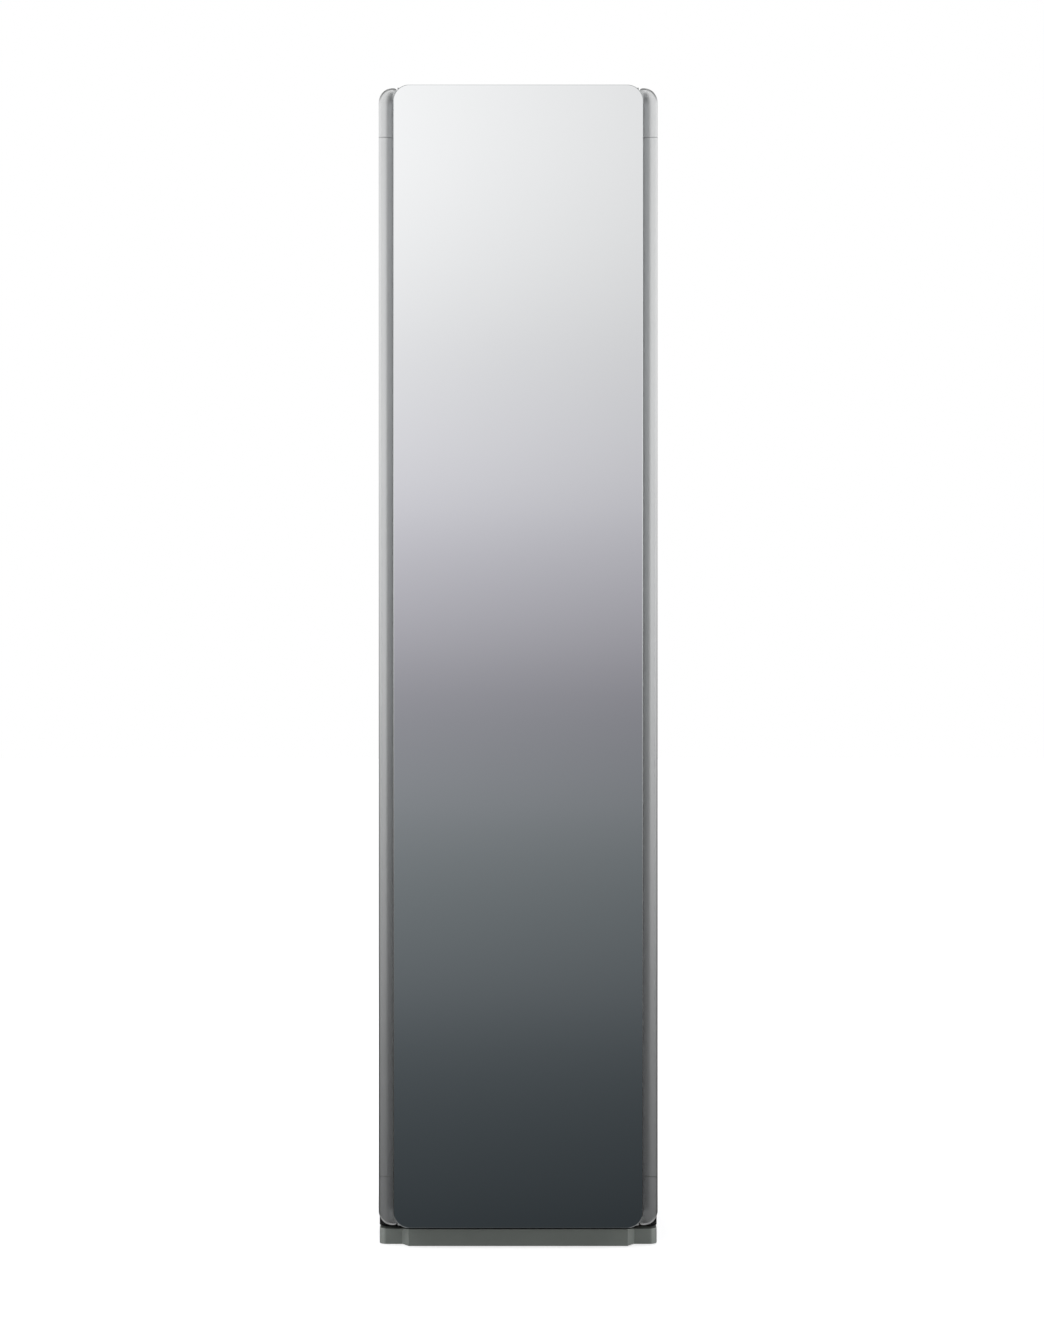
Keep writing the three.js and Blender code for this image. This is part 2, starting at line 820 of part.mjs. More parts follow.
function sidePanel(hand) {
  const section = [
    [side, cabinetFront],
    [side, panelRear],
    [side - rearFlange, panelRear],
    [side - rearFlange, panelRear - sheet],
    [side - sheet, panelRear - sheet],
    [side - sheet, cabinetFront + sheet],
    [cavityHalf, cabinetFront + sheet],
    [cavityHalf, cabinetFront],
  ];
  return prism(mirrored(section, hand), 'z', [panelBottom, panelTop]);
}

function rearCover() {
  const flat = block(
    [-side + seat, side - seat],
    [rearSheetBack - sheet, rearSheetBack],
    [panelBottom, panelTop],
  );
  const field = (inset, corner, ends) => prism(
    roundedRectangle(
      about(0, 2 * (side - rearPanel.embossSide - inset)),
      [rearPanel.embossBottom + inset, panelTop - rearPanel.embossTopDrop - inset],
      corner,
    ),
    'y',
    ends,
  );
  const raised = field(0, rearPanel.embossSide / 2, [rearSheetBack - sheet, wallFace]);
  const hollow = field(
    sheet,
    rearPanel.embossSide / 2 - sheet,
    [rearSheetBack - sheet - overrun, wallFace - sheet],
  );
  const slots = repeat(louvre.count, (i) => prism(
    roundedRectangle(
      about(0, louvre.width),
      from(louvre.first + i * louvre.pitch, louvre.height),
      louvre.height / 2,
      3,
    ),
    'y',
    [rearSheetBack - sheet - overrun, rearSheetBack + overrun],
  ));
  return cut(join(flat, raised), hollow, ...slots);
}

// Front outline of the top cover, or of anything that fits under it.
function coverArch(inset, bottom) {
  const [cornerX, cornerZ] = [side - topCover.corner, cabinetTop - topCover.corner];
  return [
    [side - inset, bottom],
    ...arc([cornerX, cornerZ], topCover.corner - inset, 0, 90, cornerSteps),
    ...arc([-cornerX, cornerZ], topCover.corner - inset, 90, 180, cornerSteps),
    [inset - side, bottom],
  ];
}

function topCoverShell() {
  const bottom = cabinetTop - topCover.height;
  return cut(
    prism(coverArch(0, bottom), 'y', [cabinetFront, rearSheetBack]),
    prism(coverArch(moulding, bottom - overrun), 'y', [cabinetFront - overrun, rearSheetBack - moulding]),
  );
}

function kickPlate() {
  const faceY = cabinetFront - kick.setBack - kick.step;
  const endsY = cabinetFront - kick.setBack;
  const plan = (inset) => {
    const middleX = kick.middle / 2 - inset;
    const right = [
      [middleX, faceY + inset],
      [middleX + kick.ramp, endsY + inset],
      ...arc([side - kick.corner, endsY + kick.corner], kick.corner - inset, -90, 0, cornerSteps),
      [side - inset, cabinetFront + kick.tail],
    ];
    return [...mirrored(right, -1).reverse(), ...right];
  };
  const top = kick.floorGap + kick.height;
  return cut(prism(plan(0), 'z', [kick.floorGap, top]), prism(
    plan(kick.wall).map(([x, y]) => [x, y > cabinetFront ? y + overrun : y]),
    'z',
    [kick.floorGap - overrun, top - kick.wall],
  ));
}

const footX = foot.spread / 2;
const footY = cabinetFront + foot.frontInset;

function basePan() {
  const front = bayFront - bay.front + bay.apron + seat;
  const halfWidth = side - sheet - seat;
  const back = panelRear - sheet - seat;
  const tub = block([-halfWidth, halfWidth], [front, back], [panBottom, panTop]);
  const hollow = block(
    [pan.wall - halfWidth, halfWidth - pan.wall],
    [front + pan.wall, back - pan.wall],
    [panBottom + pan.floor, panTop + overrun],
  );
  const bosses = [-1, 1].map((hand) => rod(
    'z',
    [hand * footX, footY],
    pan.boss,
    from(panBottom, pan.bossHeight),
  ));
  const holes = [-1, 1].map((hand) => rod(
    'z',
    [hand * footX, footY],
    foot.stem + footPlay,
    [panBottom - overrun, panTop],
    smallSides,
  ));
  const rearFeet = [-1, 1].map((hand) => rod(
    'z',
    [hand * footX, panelRear - foot.rearInset],
    pan.boss,
    [0, panBottom + pan.floor],
  ));
  return cut(join(cut(tub, hollow), ...bosses, ...rearFeet), ...holes);
}

function levellingFoot(hand) {
  const profile = [
    [0, 0],
    [foot.radius, 0],
    [foot.radius, foot.pad / 2],
    [foot.neck, foot.pad],
    [foot.neck, foot.pad + foot.nut],
    [foot.stem, foot.pad + foot.nut],
    [foot.stem, foot.stemTop],
    [0, foot.stemTop],
  ];
  return turned(profile, [hand * footX, footY], smallSides);
}

// Hinges

function upperHingePlate() {
  const neckEnd = cabinetFront + upperHinge.depth;
  const plateHeights = [hingePlateBottom, hingePlateTop];
  const leafFront = cabinetFront - seat - upperHinge.lap;
  const leaf = block(from(hingeX + upperHinge.inset, upperHinge.width), [leafFront, neckEnd], plateHeights);
  const neck = block(about(hingeX, hinge.neck), [hingeY, cabinetFront - seat], plateHeights);
  const nose = rod('z', [hingeX, hingeY], hinge.nose, [hingePlateBottom, hingePlateTop]);
  const pin = rod('z', [hingeX, hingeY], hinge.pin, [hingePlateBottom - hinge.pinLength, hingePlateTop]);
  return join(leaf, neck, nose, pin);
}

function lowerHingeBracket() {
  const legBack = cabinetFront - seat;
  const legLeft = sheet - side;
  const leg = block(
    from(legLeft, lowerHinge.legWidth),
    [legBack - lowerHinge.leg, legBack],
    from(lowerPlateBottom, lowerHinge.legHeight),
  );
  const neck = block(about(hingeX, hinge.neck), [hingeY, legBack], [lowerPlateBottom, lowerPlateTop]);
  const nose = rod('z', [hingeX, hingeY], hinge.nose, [lowerPlateBottom, lowerPlateTop]);
  const pin = rod('z', [hingeX, hingeY], hinge.pin, [lowerPlateBottom, lowerPlateTop + hinge.pinLength]);
  return join(leg, neck, nose, pin);
}

// Garment cavity

// Section of a moulded wall: pairs are distance along the wall and distance out from its hidden face.
function ribbedSection([start, end]) {
  const pitch = (end - start) / rib.count;
  const ribs = repeat(rib.count, (i) => {
    const middle = start + pitch * (i + 1 / 2);
    return [
      [middle - rib.width / 2, moulding],
      [middle - rib.width / 2 + rib.taper, moulding + rib.height],
      [middle + rib.width / 2 - rib.taper, moulding + rib.height],
      [middle + rib.width / 2, moulding],
    ];
  });
  return [[start, 0], [start, moulding], ...ribs.flat(), [end, moulding], [end, 0]];
}

const wallHeights = [cavity.floor + seat, cavity.ceiling - seat];

function innerSide(hand) {
  const section = ribbedSection([cavityFront, backWallFace - seat]).map(([along, out]) => [
    innerWallOuter - out,
    along,
  ]);
  const wall = prism(mirrored(section, hand), 'z', wallHeights);
  const frontBracket = from(cabinetFront + bracket.frontInset, bracket.length);
  const rearBracket = from(backWallFace - bracket.frontInset - bracket.length, bracket.length);
  const brackets = [frontBracket, rearBracket].map((ys) => block(
    [hand * (cavityHalf - bracket.reach), hand * cavityHalf + hand * moulding / 2],
    ys,
    [bracket.top - bracket.height, bracket.top],
  ));
  return join(wall, ...brackets);
}

function innerBack() {
  const section = ribbedSection([-innerWallOuter, innerWallOuter]).map(([along, out]) => [
    along,
    backWallFace + moulding - out,
  ]);
  return prism(section, 'z', wallHeights);
}

function innerCeiling() {
  const plate = block(
    [-innerWallOuter, innerWallOuter],
    [cabinetFront, backWallFace + moulding],
    [cavity.ceiling, ceilingTop],
  );
  const sheetInside = block(
    [-innerWallOuter - overrun, innerWallOuter + overrun],
    [cabinetFront - overrun, cavityFront],
    [cavity.ceiling - overrun, ceilingTop + overrun],
  );
  const apronHalf = cavityHalf - seat;
  const apronBack = cabinetFront + ceiling.apronDepth;
  const apron = block([-apronHalf, apronHalf], [cabinetFront, apronBack], [cavity.ceiling, apronTop]);
  const pocket = block(
    [ceiling.apronWall - apronHalf, apronHalf - ceiling.apronWall],
    [cabinetFront + ceiling.apronWall, apronBack + overrun],
    [ceilingTop, apronTop - ceiling.apronWall],
  );
  const browYs = from(cabinetFront, ceiling.apronWall);
  const browArch = prism(coverArch(moulding + seat, panelTop + 2 * seat), 'y', browYs);
  const brow = browArch.intersect(block([-side, side], browYs, [panelTop, apronTop]));
  const slots = [-1, 1].map((hand) => block(
    about((hand * stem.spread) / 2, 2 * (stem.radius + shakeTravel + runningGap)),
    about(drive.y, 2 * (stem.radius + runningGap)),
    [cavity.ceiling - overrun, ceilingTop + overrun],
  ));
  return cut(join(cut(plate, sheetInside), cut(apron, pocket), brow), ...slots);
}

function interiorLamp() {
  const outline = roundedRectangle(
    about(0, lamp.width),
    from(cabinetFront + lamp.inset, lamp.depth),
    lamp.corner,
    3,
  );
  const inner = roundedRectangle(
    about(0, lamp.width - lamp.corner),
    [cabinetFront + lamp.inset + lamp.corner / 2, cabinetFront + lamp.inset + lamp.depth - lamp.corner / 2],
    lamp.corner / 2,
    3,
  );
  const top = cavity.ceiling - seat;
  return skin([
    atHeight(inner, top - lamp.height),
    atHeight(outline, top - lamp.height / 2),
    atHeight(outline, top),
  ]);
}

const filterRight = filter.left + filter.width;
const aromaLeft = filterRight + aroma.gap;
const wellYs = from(wellFront, well.length);

// Open box let into the cavity floor, with its walls under the floor.
function floorWell([left, right]) {
  const [low, high] = [cavity.floor - well.depth, cavity.floor];
  const outer = block(
    [left - well.wall, right + well.wall],
    [wellYs[0] - well.wall, wellYs[1] + well.wall],
    [low, high],
  );
  const inner = block([left, right], wellYs, [low + well.wall, high + overrun]);
  return { outer, inner };
}

const chimneyRight = blower.x + blower.end;
const chimneyLeft = chimneyRight - blower.chimney;
const blowerFront = duct.rear + seat;

function cavityFloorPlate() {
  const plate = block(
    [-innerWallOuter, innerWallOuter],
    [cavityFront, backWallFace + moulding],
    [floorUnderside, cavity.floor],
  );
  const sillHalf = cavityHalf - seat;
  const sill = block(
    [-sillHalf, sillHalf],
    from(cavityFront, cavityFloor.sillDepth),
    [cavity.floor - cavityFloor.sillDrop, cavity.floor],
  );
  const filterWell = floorWell([filter.left, filterRight]);
  const aromaWell = floorWell([aromaLeft, aromaLeft + aroma.width]);
  const window = block(
    [filter.left + ductWindow.margin, filterRight - ductWindow.margin],
    [wellYs[1] - overrun / 2, wellYs[1] + well.wall + overrun],
    [ductWindow.bottom, ductWindow.top],
  );
  const steamHole = rod(
    'z',
    [nozzle.x, nozzleY],
    nozzle.stem + nozzle.play,
    [floorUnderside - overrun, cavity.floor + overrun],
  );
  const grilleWidth = blower.chimney - 2 * (blower.wall + outletGrille.inset);
  const grilleDepth = blower.depth - 2 * (blower.wall + outletGrille.inset);
  const slotPitch = (grilleDepth + outletGrille.bar) / outletGrille.slots;
  const slots = repeat(outletGrille.slots, (i) => block(
    about((chimneyLeft + chimneyRight) / 2, grilleWidth),
    from(blowerFront + blower.wall + outletGrille.inset + i * slotPitch, slotPitch - outletGrille.bar),
    [floorUnderside - overrun, cavity.floor + overrun],
  ));
  const body = join(plate, sill, filterWell.outer, aromaWell.outer);
  return cut(body, filterWell.inner, aromaWell.inner, window, steamHole, ...slots);
}

function insulationJacket() {
  const outerX = side - sheet - seat;
  const innerX = innerWallOuter + seat;
  const backFront = backWallFace + moulding + seat;
  const section = [
    [outerX, cavityFront],
    [outerX, panelRear - sheet - seat],
    [-outerX, panelRear - sheet - seat],
    [-outerX, cavityFront],
    [-innerX, cavityFront],
    [-innerX, backFront],
    [innerX, backFront],
    [innerX, cavityFront],
  ];
  return prism(section, 'z', [cavity.floor + seat, cavity.ceiling - seat]);
}

function liftOutShelf() {
  const halfWidth = cavityHalf - shelf.sideGap;
  const ys = [cabinetFront + shelf.frontInset, backWallFace - shelf.rearInset];
  const zs = from(bracket.top + seat, shelf.thickness);
  const plate = prism(roundedRectangle([-halfWidth, halfWidth], ys, shelf.frame, 4), 'z', zs);
  const pitch = (2 * (halfWidth - shelf.frame) + shelf.bar) / shelf.slots;
  const slots = repeat(shelf.slots, (i) => block(
    from(shelf.frame - halfWidth + i * pitch, pitch - shelf.bar),
    [ys[0] + 2 * shelf.frame, ys[1] - shelf.frame],
    [zs[0] - overrun, zs[1] + overrun],
  ));
  return cut(plate, ...slots);
}

function lintFilter() {
  const xs = [filter.left + filter.play, filterRight - filter.play];
  const ys = [wellYs[0] + filter.play, wellYs[1] - filter.play];
  const bottom = cavity.floor - well.depth + well.wall + seat;
  const rimBottom = cavity.floor + seat;
  const box = block(xs, ys, [bottom, rimBottom + filter.wall]);
  const rimBlock = block(
    [filter.left - filter.rim, filterRight + filter.rim],
    [wellYs[0] - filter.rim, wellYs[1] + filter.rim],
    from(rimBottom, filter.wall),
  );
  const hollow = block(
    [xs[0] + filter.wall, xs[1] - filter.wall],
    [ys[0] + filter.wall, ys[1] - filter.wall],
    [bottom + filter.wall, rimBottom + overrun],
  );
  const pitch = (xs[1] - xs[0] - 2 * filterWindow.margin + filterWindow.rib) / filter.windows;
  const windows = repeat(filter.windows, (i) => block(
    from(xs[0] + filterWindow.margin + i * pitch, pitch - filterWindow.rib),
    [ys[1] - filter.wall - overrun / 2, ys[1] + overrun / 2],
    from(bottom + filterWindow.bottom, filterWindow.height),
  ));
  const middle = (xs[0] + xs[1]) / 2;
  const gripTop = rimBottom + filter.gripHeight + filter.wall;
  const gripYs = about((ys[0] + ys[1]) / 2, filter.gripWidth);
  const gripBar = block(about(middle, filter.grip), gripYs, [rimBottom + filter.gripHeight, gripTop]);
  const gripLegs = [-1, 1].map((hand) => block(
    about(middle + (hand * (filter.grip - filter.wall)) / 2, filter.wall),
    gripYs,
    [rimBottom, gripTop],
  ));
  const crossBar = block(about(middle, filter.grip), ys, from(rimBottom, filter.wall));
  return join(cut(join(box, rimBlock), hollow, ...windows), crossBar, gripBar, ...gripLegs);
}

function aromaCase() {
  const xs = [aromaLeft + filter.play, aromaLeft + aroma.width - filter.play];
  const ys = [wellYs[0] + filter.play, wellYs[1] - filter.play];
  const bottom = cavity.floor - well.depth + well.wall + seat;
  const rimBottom = cavity.floor + seat;
  const body = block(xs, ys, [bottom, rimBottom + filter.wall]);
  const rimPlate = prism(
    roundedRectangle(
      [aromaLeft - filter.rim, aromaLeft + aroma.width + filter.rim],
      [wellYs[0] - filter.rim, wellYs[1] + filter.rim],
      filter.rim,
      3,
    ),
    'z',
    from(rimBottom, filter.wall),
  );
  const pitch = aroma.ventWidth * 2;
  const vents = repeat(aroma.vents, (i) => block(
    about((xs[0] + xs[1]) / 2 + (i - (aroma.vents - 1) / 2) * pitch, aroma.ventWidth),
    about((ys[0] + ys[1]) / 2, aroma.ventLength),
    [rimBottom + filter.wall - aroma.ventDepth, rimBottom + overrun],
  ));
  return cut(join(body, rimPlate), ...vents);
}

// Water tanks

function tankBay() {
  const half = cavityHalf - seat;
  const shellBox = block([-half, half], [bayFront, bayBack], [bay.bottom, bay.top]);
  const bays = [-1, 1].map((hand) => block(
    [(hand * bay.divider) / 2, hand * (half - bay.wall)],
    [bayFront - overrun, bayBack - bay.wall],
    [bay.bottom + bay.wall, bay.top - bay.wall],
  ));
  const apron = block([-half, half], from(cabinetFront, bay.apron), [bay.apronBottom, bay.bottom + bay.wall]);
  return join(cut(shellBox, ...bays), apron);
}

const tankYs = [bayFront + tank.frontInset, bayBack - bay.wall - tank.play];
const tankBottom = bay.bottom + bay.wall + seat;
const tankTop = tankBottom + tank.height;

function tankXs(hand) {
  const inner = bay.divider / 2 + tank.play;
  const outer = cavityHalf - seat - bay.wall - tank.play;
  return hand < 0 ? [-outer, -inner] : [inner, outer];
}

// Thin-walled tank with a grip recess pressed into its front.
function waterTank(hand) {
  const [left, right] = tankXs(hand);
  const middle = (left + right) / 2;
  const w = tank.wall;
  const outer = prism(roundedRectangle([left, right], tankYs, tank.corner), 'z', [tankBottom, tankTop]);
  const inner = prism(
    roundedRectangle([left + w, right - w], [tankYs[0] + w, tankYs[1] - w], tank.corner - w),
    'z',
    [tankBottom + w, tankTop + overrun],
  );
  const gripTop = tankTop - grip.below;
  const recess = (grow, start) => block(
    about(middle, grip.width + 2 * grow),
    [start, tankYs[0] + grip.depth + grow],
    [gripTop - grip.height - grow, gripTop + grow],
  );
  return cut(outer, cut(inner, recess(w, tankYs[0])), recess(0, tankYs[0] - overrun));
}

function tankLid(hand, holeRadius) {
  const [left, right] = tankXs(hand);
  const w = tank.wall;
  const bottom = tankTop + seat;
  const plate = prism(roundedRectangle([left, right], tankYs, tank.corner), 'z', from(bottom, tank.lid));
  const plug = prism(
    roundedRectangle(
      [left + w + seat, right - w - seat],
      [tankYs[0] + w + seat, tankYs[1] - w - seat],
      tank.corner - w,
    ),
    'z',
    [bottom - tank.lidLip, bottom + seat],
  );
  const hole = rod(
    'z',
    [(left + right) / 2, tankYs[1] - w - 2 * holeRadius],
    holeRadius,
    [bottom - tank.lidLip - overrun, bottom + tank.lid + overrun],
  );
  return cut(join(plate, plug), hole);
}

// Machine room

const neckFront = wellYs[1] + well.wall + seat;
const ductTop = floorUnderside - seat;
const runLength = Object.values(coilRun).reduce((sum, length) => sum + length, 0);
const coilFit = (duct.rear - bayBack) / runLength;
const evaporatorYs = from(bayBack + coilRun.frontGap * coilFit, coilRun.evaporator * coilFit);
const condenserYs = from(evaporatorYs[1] + coilRun.middleGap * coilFit, coilRun.condenser * coilFit);

function ductTray() {
  const half = duct.width / 2;
  const deepFront = bayBack + seat;
  const section = (inset, top) => [
    [neckFront + inset, top],
    [neckFront + inset, duct.neckBottom + inset],
    [deepFront + inset, duct.neckBottom + inset],
    [deepFront + inset, duct.bottom + inset],
    [duct.rear - inset, duct.bottom + inset],
    [duct.rear - inset, top],
  ];
  const outer = prism(section(0, ductTop), 'x', [-half, half]);
  const inner = prism(section(duct.wall, ductTop + overrun), 'x', [duct.wall - half, half - duct.wall]);
  const window = block(
    [filter.left + ductWindow.margin, filterRight - ductWindow.margin],
    [neckFront - overrun, neckFront + overrun / 2],
    [ductWindow.bottom, ductWindow.top],
  );
  const inlet = rod(
    'y',
    [blower.x, blower.z],
    blower.inlet,
    [duct.rear - duct.wall - overrun / 2, duct.rear + overrun],
    fineSides,
  );
  return cut(outer, inner, window, inlet);
}

// Comb of fins standing on a tube plate, with an end plate at each side.
function finBlock([front, back]) {
  const half = duct.width / 2 - duct.wall - coil.inset;
  const zs = [duct.bottom + duct.wall + seat, ductTop - coil.headroom];
  const plateFront = back - coil.plate;
  const pitch = (2 * half - coil.fin) / (coil.fins - 1);
  const fins = repeat(coil.fins, (i) => {
    const left = -half + i * pitch;
    return [[left, plateFront], [left, front], [left + coil.fin, front], [left + coil.fin, plateFront]];
  });
  const comb = [...fins.flat(), [half, back], [-half, back]];
  return prism(comb, 'z', zs);
}

// Scroll outline: a spiral that widens with angle, then runs straight up into the outlet.
function scroll(inset, top) {
  const spiralSteps = 15;
  const [startAngle, endAngle] = [60, 360];
  const spiral = repeat(spiralSteps + 1, (i) => {
    const share = i / spiralSteps;
    const angle = THREE.MathUtils.degToRad(startAngle + (endAngle - startAngle) * share);
    const radius = blower.start + (blower.end - blower.start) * share - inset;
    return [blower.x + radius * Math.cos(angle), blower.z + radius * Math.sin(angle)];
  });
  return [...spiral, [chimneyRight - inset, top], [chimneyLeft + inset, top]];
}

function blowerHousing() {
  const back = blowerFront + blower.depth;
  const outer = prism(scroll(0, ductTop), 'y', [blowerFront, back]);
  const inner = prism(
    scroll(blower.wall, ductTop + overrun),
    'y',
    [blowerFront + blower.wall, back - blower.wall],
  );
  const inlet = rod(
    'y',
    [blower.x, blower.z],
    blower.inlet,
    [blowerFront - overrun, blowerFront + blower.wall + overrun / 2],
    fineSides,
  );
  const can = rod('y', [blower.x, blower.z], blower.motor, from(back - seat, blower.motorDepth));
  const bore = rod(
    'y',
    [blower.x, blower.z],
    impeller.shaft + seat,
    [back - blower.wall - overrun / 2, back + impeller.shaftLength],
    smallSides,
  );
  return cut(join(cut(outer, inner, inlet), can), bore);
}

function blowerImpeller() {
  const back = blowerFront + blower.depth - blower.wall - runningGap;
  const front = back - impeller.width;
  const middle = [blower.x, blower.z];
  const backPlate = rod('y', middle, impeller.radius, [back - impeller.plate, back], fineSides);
  const hub = rod('y', middle, impeller.hub, [back - impeller.width / 2, back]);
  const shaft = rod(
    'y',
    middle,
    impeller.shaft,
    [back - impeller.plate, back + impeller.shaftLength],
    smallSides,
  );
  const ring = cut(
    rod('y', middle, impeller.radius, from(front, impeller.plate), fineSides),
    rod('y', middle, impeller.inner, [front - overrun, front + overrun], fineSides),
  );
  const bladeSteps = 3;
  const sweep = 35;
  const blades = repeat(impeller.blades, (i) => {
    const start = (360 * i) / impeller.blades;
    const edge = (offset) => repeat(bladeSteps + 1, (k) => {
      const share = k / bladeSteps;
      const radius = impeller.inner + (impeller.radius - impeller.inner) * share - seat * share;
      const angle = THREE.MathUtils.degToRad(start + sweep * share ** 2);
      const turn = offset / radius;
      return [blower.x + radius * Math.cos(angle + turn), blower.z + radius * Math.sin(angle + turn)];
    });
    return prism(
      [...edge(0), ...edge(impeller.blade).reverse()],
      'y',
      [front + impeller.plate / 2, back - impeller.plate / 2],
    );
  });
  return join(backPlate, hub, shaft, ring, ...blades);
}

function compressorCan() {
  const { radius, bottom, top, dome } = compressor;
  const domeSteps = 4;
  const curve = (centre, start, end) => repeat(domeSteps + 1, (i) => {
    const angle = THREE.MathUtils.degToRad(start + ((end - start) * i) / domeSteps);
    return [radius - dome + dome * Math.cos(angle), centre + dome * Math.sin(angle)];
  });
  const profile = [[0, bottom], ...curve(bottom + dome, -90, 0), ...curve(top - dome, 0, 90), [0, top]];
  const can = turned(profile, [compressor.x, compressor.y]);
  const plateBottom = panBottom + pan.floor + compressor.rubber;
  const corners = circle([compressor.x, compressor.y], compressor.plate, 3);
  const plate = prism(corners, 'z', from(plateBottom, compressor.plateHeight + bottom - plateBottom));
  const rubbers = corners.map(([x, y]) => {
    const [u, v] = [
      compressor.x + (x - compressor.x) * rubberShare,
      compressor.y + (y - compressor.y) * rubberShare,
    ];
    return rod(
      'z',
      [u, v],
      compressor.rubber,
      [panBottom + pan.floor + seat, plateBottom + seat],
      smallSides,
    );
  });
  return join(can, plate, ...rubbers);
}

function steamGenerator() {
  const zs = from(panBottom + pan.floor + seat, steamTank.height);
  const xs = about(steamTank.x, steamTank.width);
  const ys = about(steamTankY, steamTank.depth);
  const body = prism(roundedRectangle(xs, ys, steamTank.corner, 3), 'z', zs);
  const pitch = steamTank.height / (steamTank.ribs + 1);
  const ribs = repeat(steamTank.ribs, (i) => prism(
    roundedRectangle(
      [xs[0] - steamTank.rib, xs[1] + steamTank.rib],
      [ys[0] - steamTank.rib, ys[1] + steamTank.rib],
      steamTank.corner,
      3,
    ),
    'z',
    from(zs[0] + pitch * (i + 1), steamTank.rib / 2),
  ));
  const spigot = rod(
    'z',
    [steamTank.x, steamTankY],
    steamTank.spigot,
    from(zs[1] - seat, steamTank.spigotHeight),
    smallSides,
  );
  return join(body, ...ribs, spigot);
}

const spigotTop = panBottom + pan.floor + seat + steamTank.height - seat + steamTank.spigotHeight;
const nozzleBottom = cavity.floor - nozzle.stemLength;

function hosePipe() {
  const passUnder = duct.bottom - 3 * steamHose.radius;
  return pipe([
    [steamTank.x, steamTankY, spigotTop + seat],
    [steamTank.x, steamTankY, spigotTop + 4 * steamHose.radius],
    [steamTank.x - steamTank.width / 4, steamTankY + steamTank.depth, passUnder - 2 * steamHose.radius],
    [steamTank.x - steamTank.width, duct.rear + 3 * steamHose.radius, passUnder],
    [nozzle.x, nozzleY, nozzleBottom - 8 * steamHose.radius],
    [nozzle.x, nozzleY, nozzleBottom - seat],
  ], steamHose.radius, steamHose.sides, steamHose.steps);
}

function steamNozzle() {
  const bottom = cavity.floor + seat;
  const profile = [
    [0, nozzleBottom],
    [nozzle.stem, nozzleBottom],
    [nozzle.stem, bottom],
    [nozzle.cap, bottom],
    [nozzle.cap, bottom + nozzle.capHeight / 2],
    [nozzle.cap - nozzle.slotHeight, bottom + nozzle.capHeight * nozzleShoulderShare],
    [nozzle.cap / 2, bottom + nozzle.capHeight],
    [0, bottom + nozzle.capHeight],
  ];
  const body = turned(profile, [nozzle.x, nozzleY]);
  const slots = repeat(nozzle.slots / 2, (i) => {
    const angle = (Math.PI * i) / (nozzle.slots / 2);
    const along = [Math.cos(angle) * nozzle.cap * 2, Math.sin(angle) * nozzle.cap * 2];
    const across = [(-Math.sin(angle) * nozzle.slotWidth) / 2, (Math.cos(angle) * nozzle.slotWidth) / 2];
    const corner = (a, b) => [
      nozzle.x + a * along[0] + b * across[0],
      nozzleY + a * along[1] + b * across[1],
    ];
    const zs = from(bottom + seat, nozzle.slotHeight);
    const strip = prism([corner(-1, -1), corner(1, -1), corner(1, 1), corner(-1, 1)], 'z', zs);
    return cut(
      strip,
      rod('z', [nozzle.x, nozzleY], nozzle.cap - nozzle.slotHeight, [zs[0] - overrun, zs[1] + overrun]),
    );
  });
  return cut(body, ...slots);
}

function drainPump() {
  const bottom = panBottom + pan.floor + seat;
  const top = bottom + pump.height;
  const profile = [
    [0, bottom],
    [pump.radius, bottom],
    [pump.radius, bottom + pump.spigotHeight * 2],
    [pump.radius - pump.spigot / 2, bottom + pump.spigotHeight * 2],
    [pump.radius - pump.spigot / 2, top - pump.spigot / 2],
    [pump.radius - pump.spigot, top],
    [0, top],
  ];
  const spigot = rod(
    'x',
    [pumpY, bottom + pump.spigotHeight],
    pump.spigot,
    [pump.x, pump.x + pump.radius + pump.spigotLength],
    smallSides,
  );
  return join(turned(profile, [pump.x, pumpY], coarseSides), spigot);
}

function refrigerantPipe() {
  const { x, y, top } = compressor;
  const wall = -duct.width / 2;
  const r = gasPipe.radius;
  const meet = [(condenserYs[0] + condenserYs[1]) / 2, (duct.bottom + ductTop) / 2];
  return pipe([
    [x, y, top + seat],
    [x, y, top + 6 * r],
    [wall - 2 * r, y - 4 * r, top + 12 * r],
    [wall - 4 * r, (y + meet[0]) / 2, (top + meet[1]) / 2 + 8 * r],
    [wall - 5 * r, meet[0] + 5 * r, meet[1]],
    [wall - 4 * r, meet[0], meet[1]],
    [wall - seat, meet[0], meet[1]],
  ], r, gasPipe.sides, gasPipe.steps);
}

function controlBox() {
  const ys = [drive.y + motor.distance + motor.radius + controls.motorGap, backWallFace - controls.rearGap];
  const grooveInset = (ys[1] - ys[0]) / 4;
  const xs = about(0, controls.width);
  const zs = from(ceilingTop + seat, controls.height);
  const body = prism(roundedRectangle(xs, ys, controls.corner, 3), 'z', zs);
  const pitch = controls.width / (controls.fins + 1);
  const grooves = repeat(controls.fins, (i) => block(
    about(xs[0] + pitch * (i + 1), pitch - controls.fin),
    [ys[0] + grooveInset, ys[1] - grooveInset],
    [zs[1] - controls.finDepth, zs[1] + overrun],
  ));
  return cut(body, ...grooves);
}

// Shaking drive

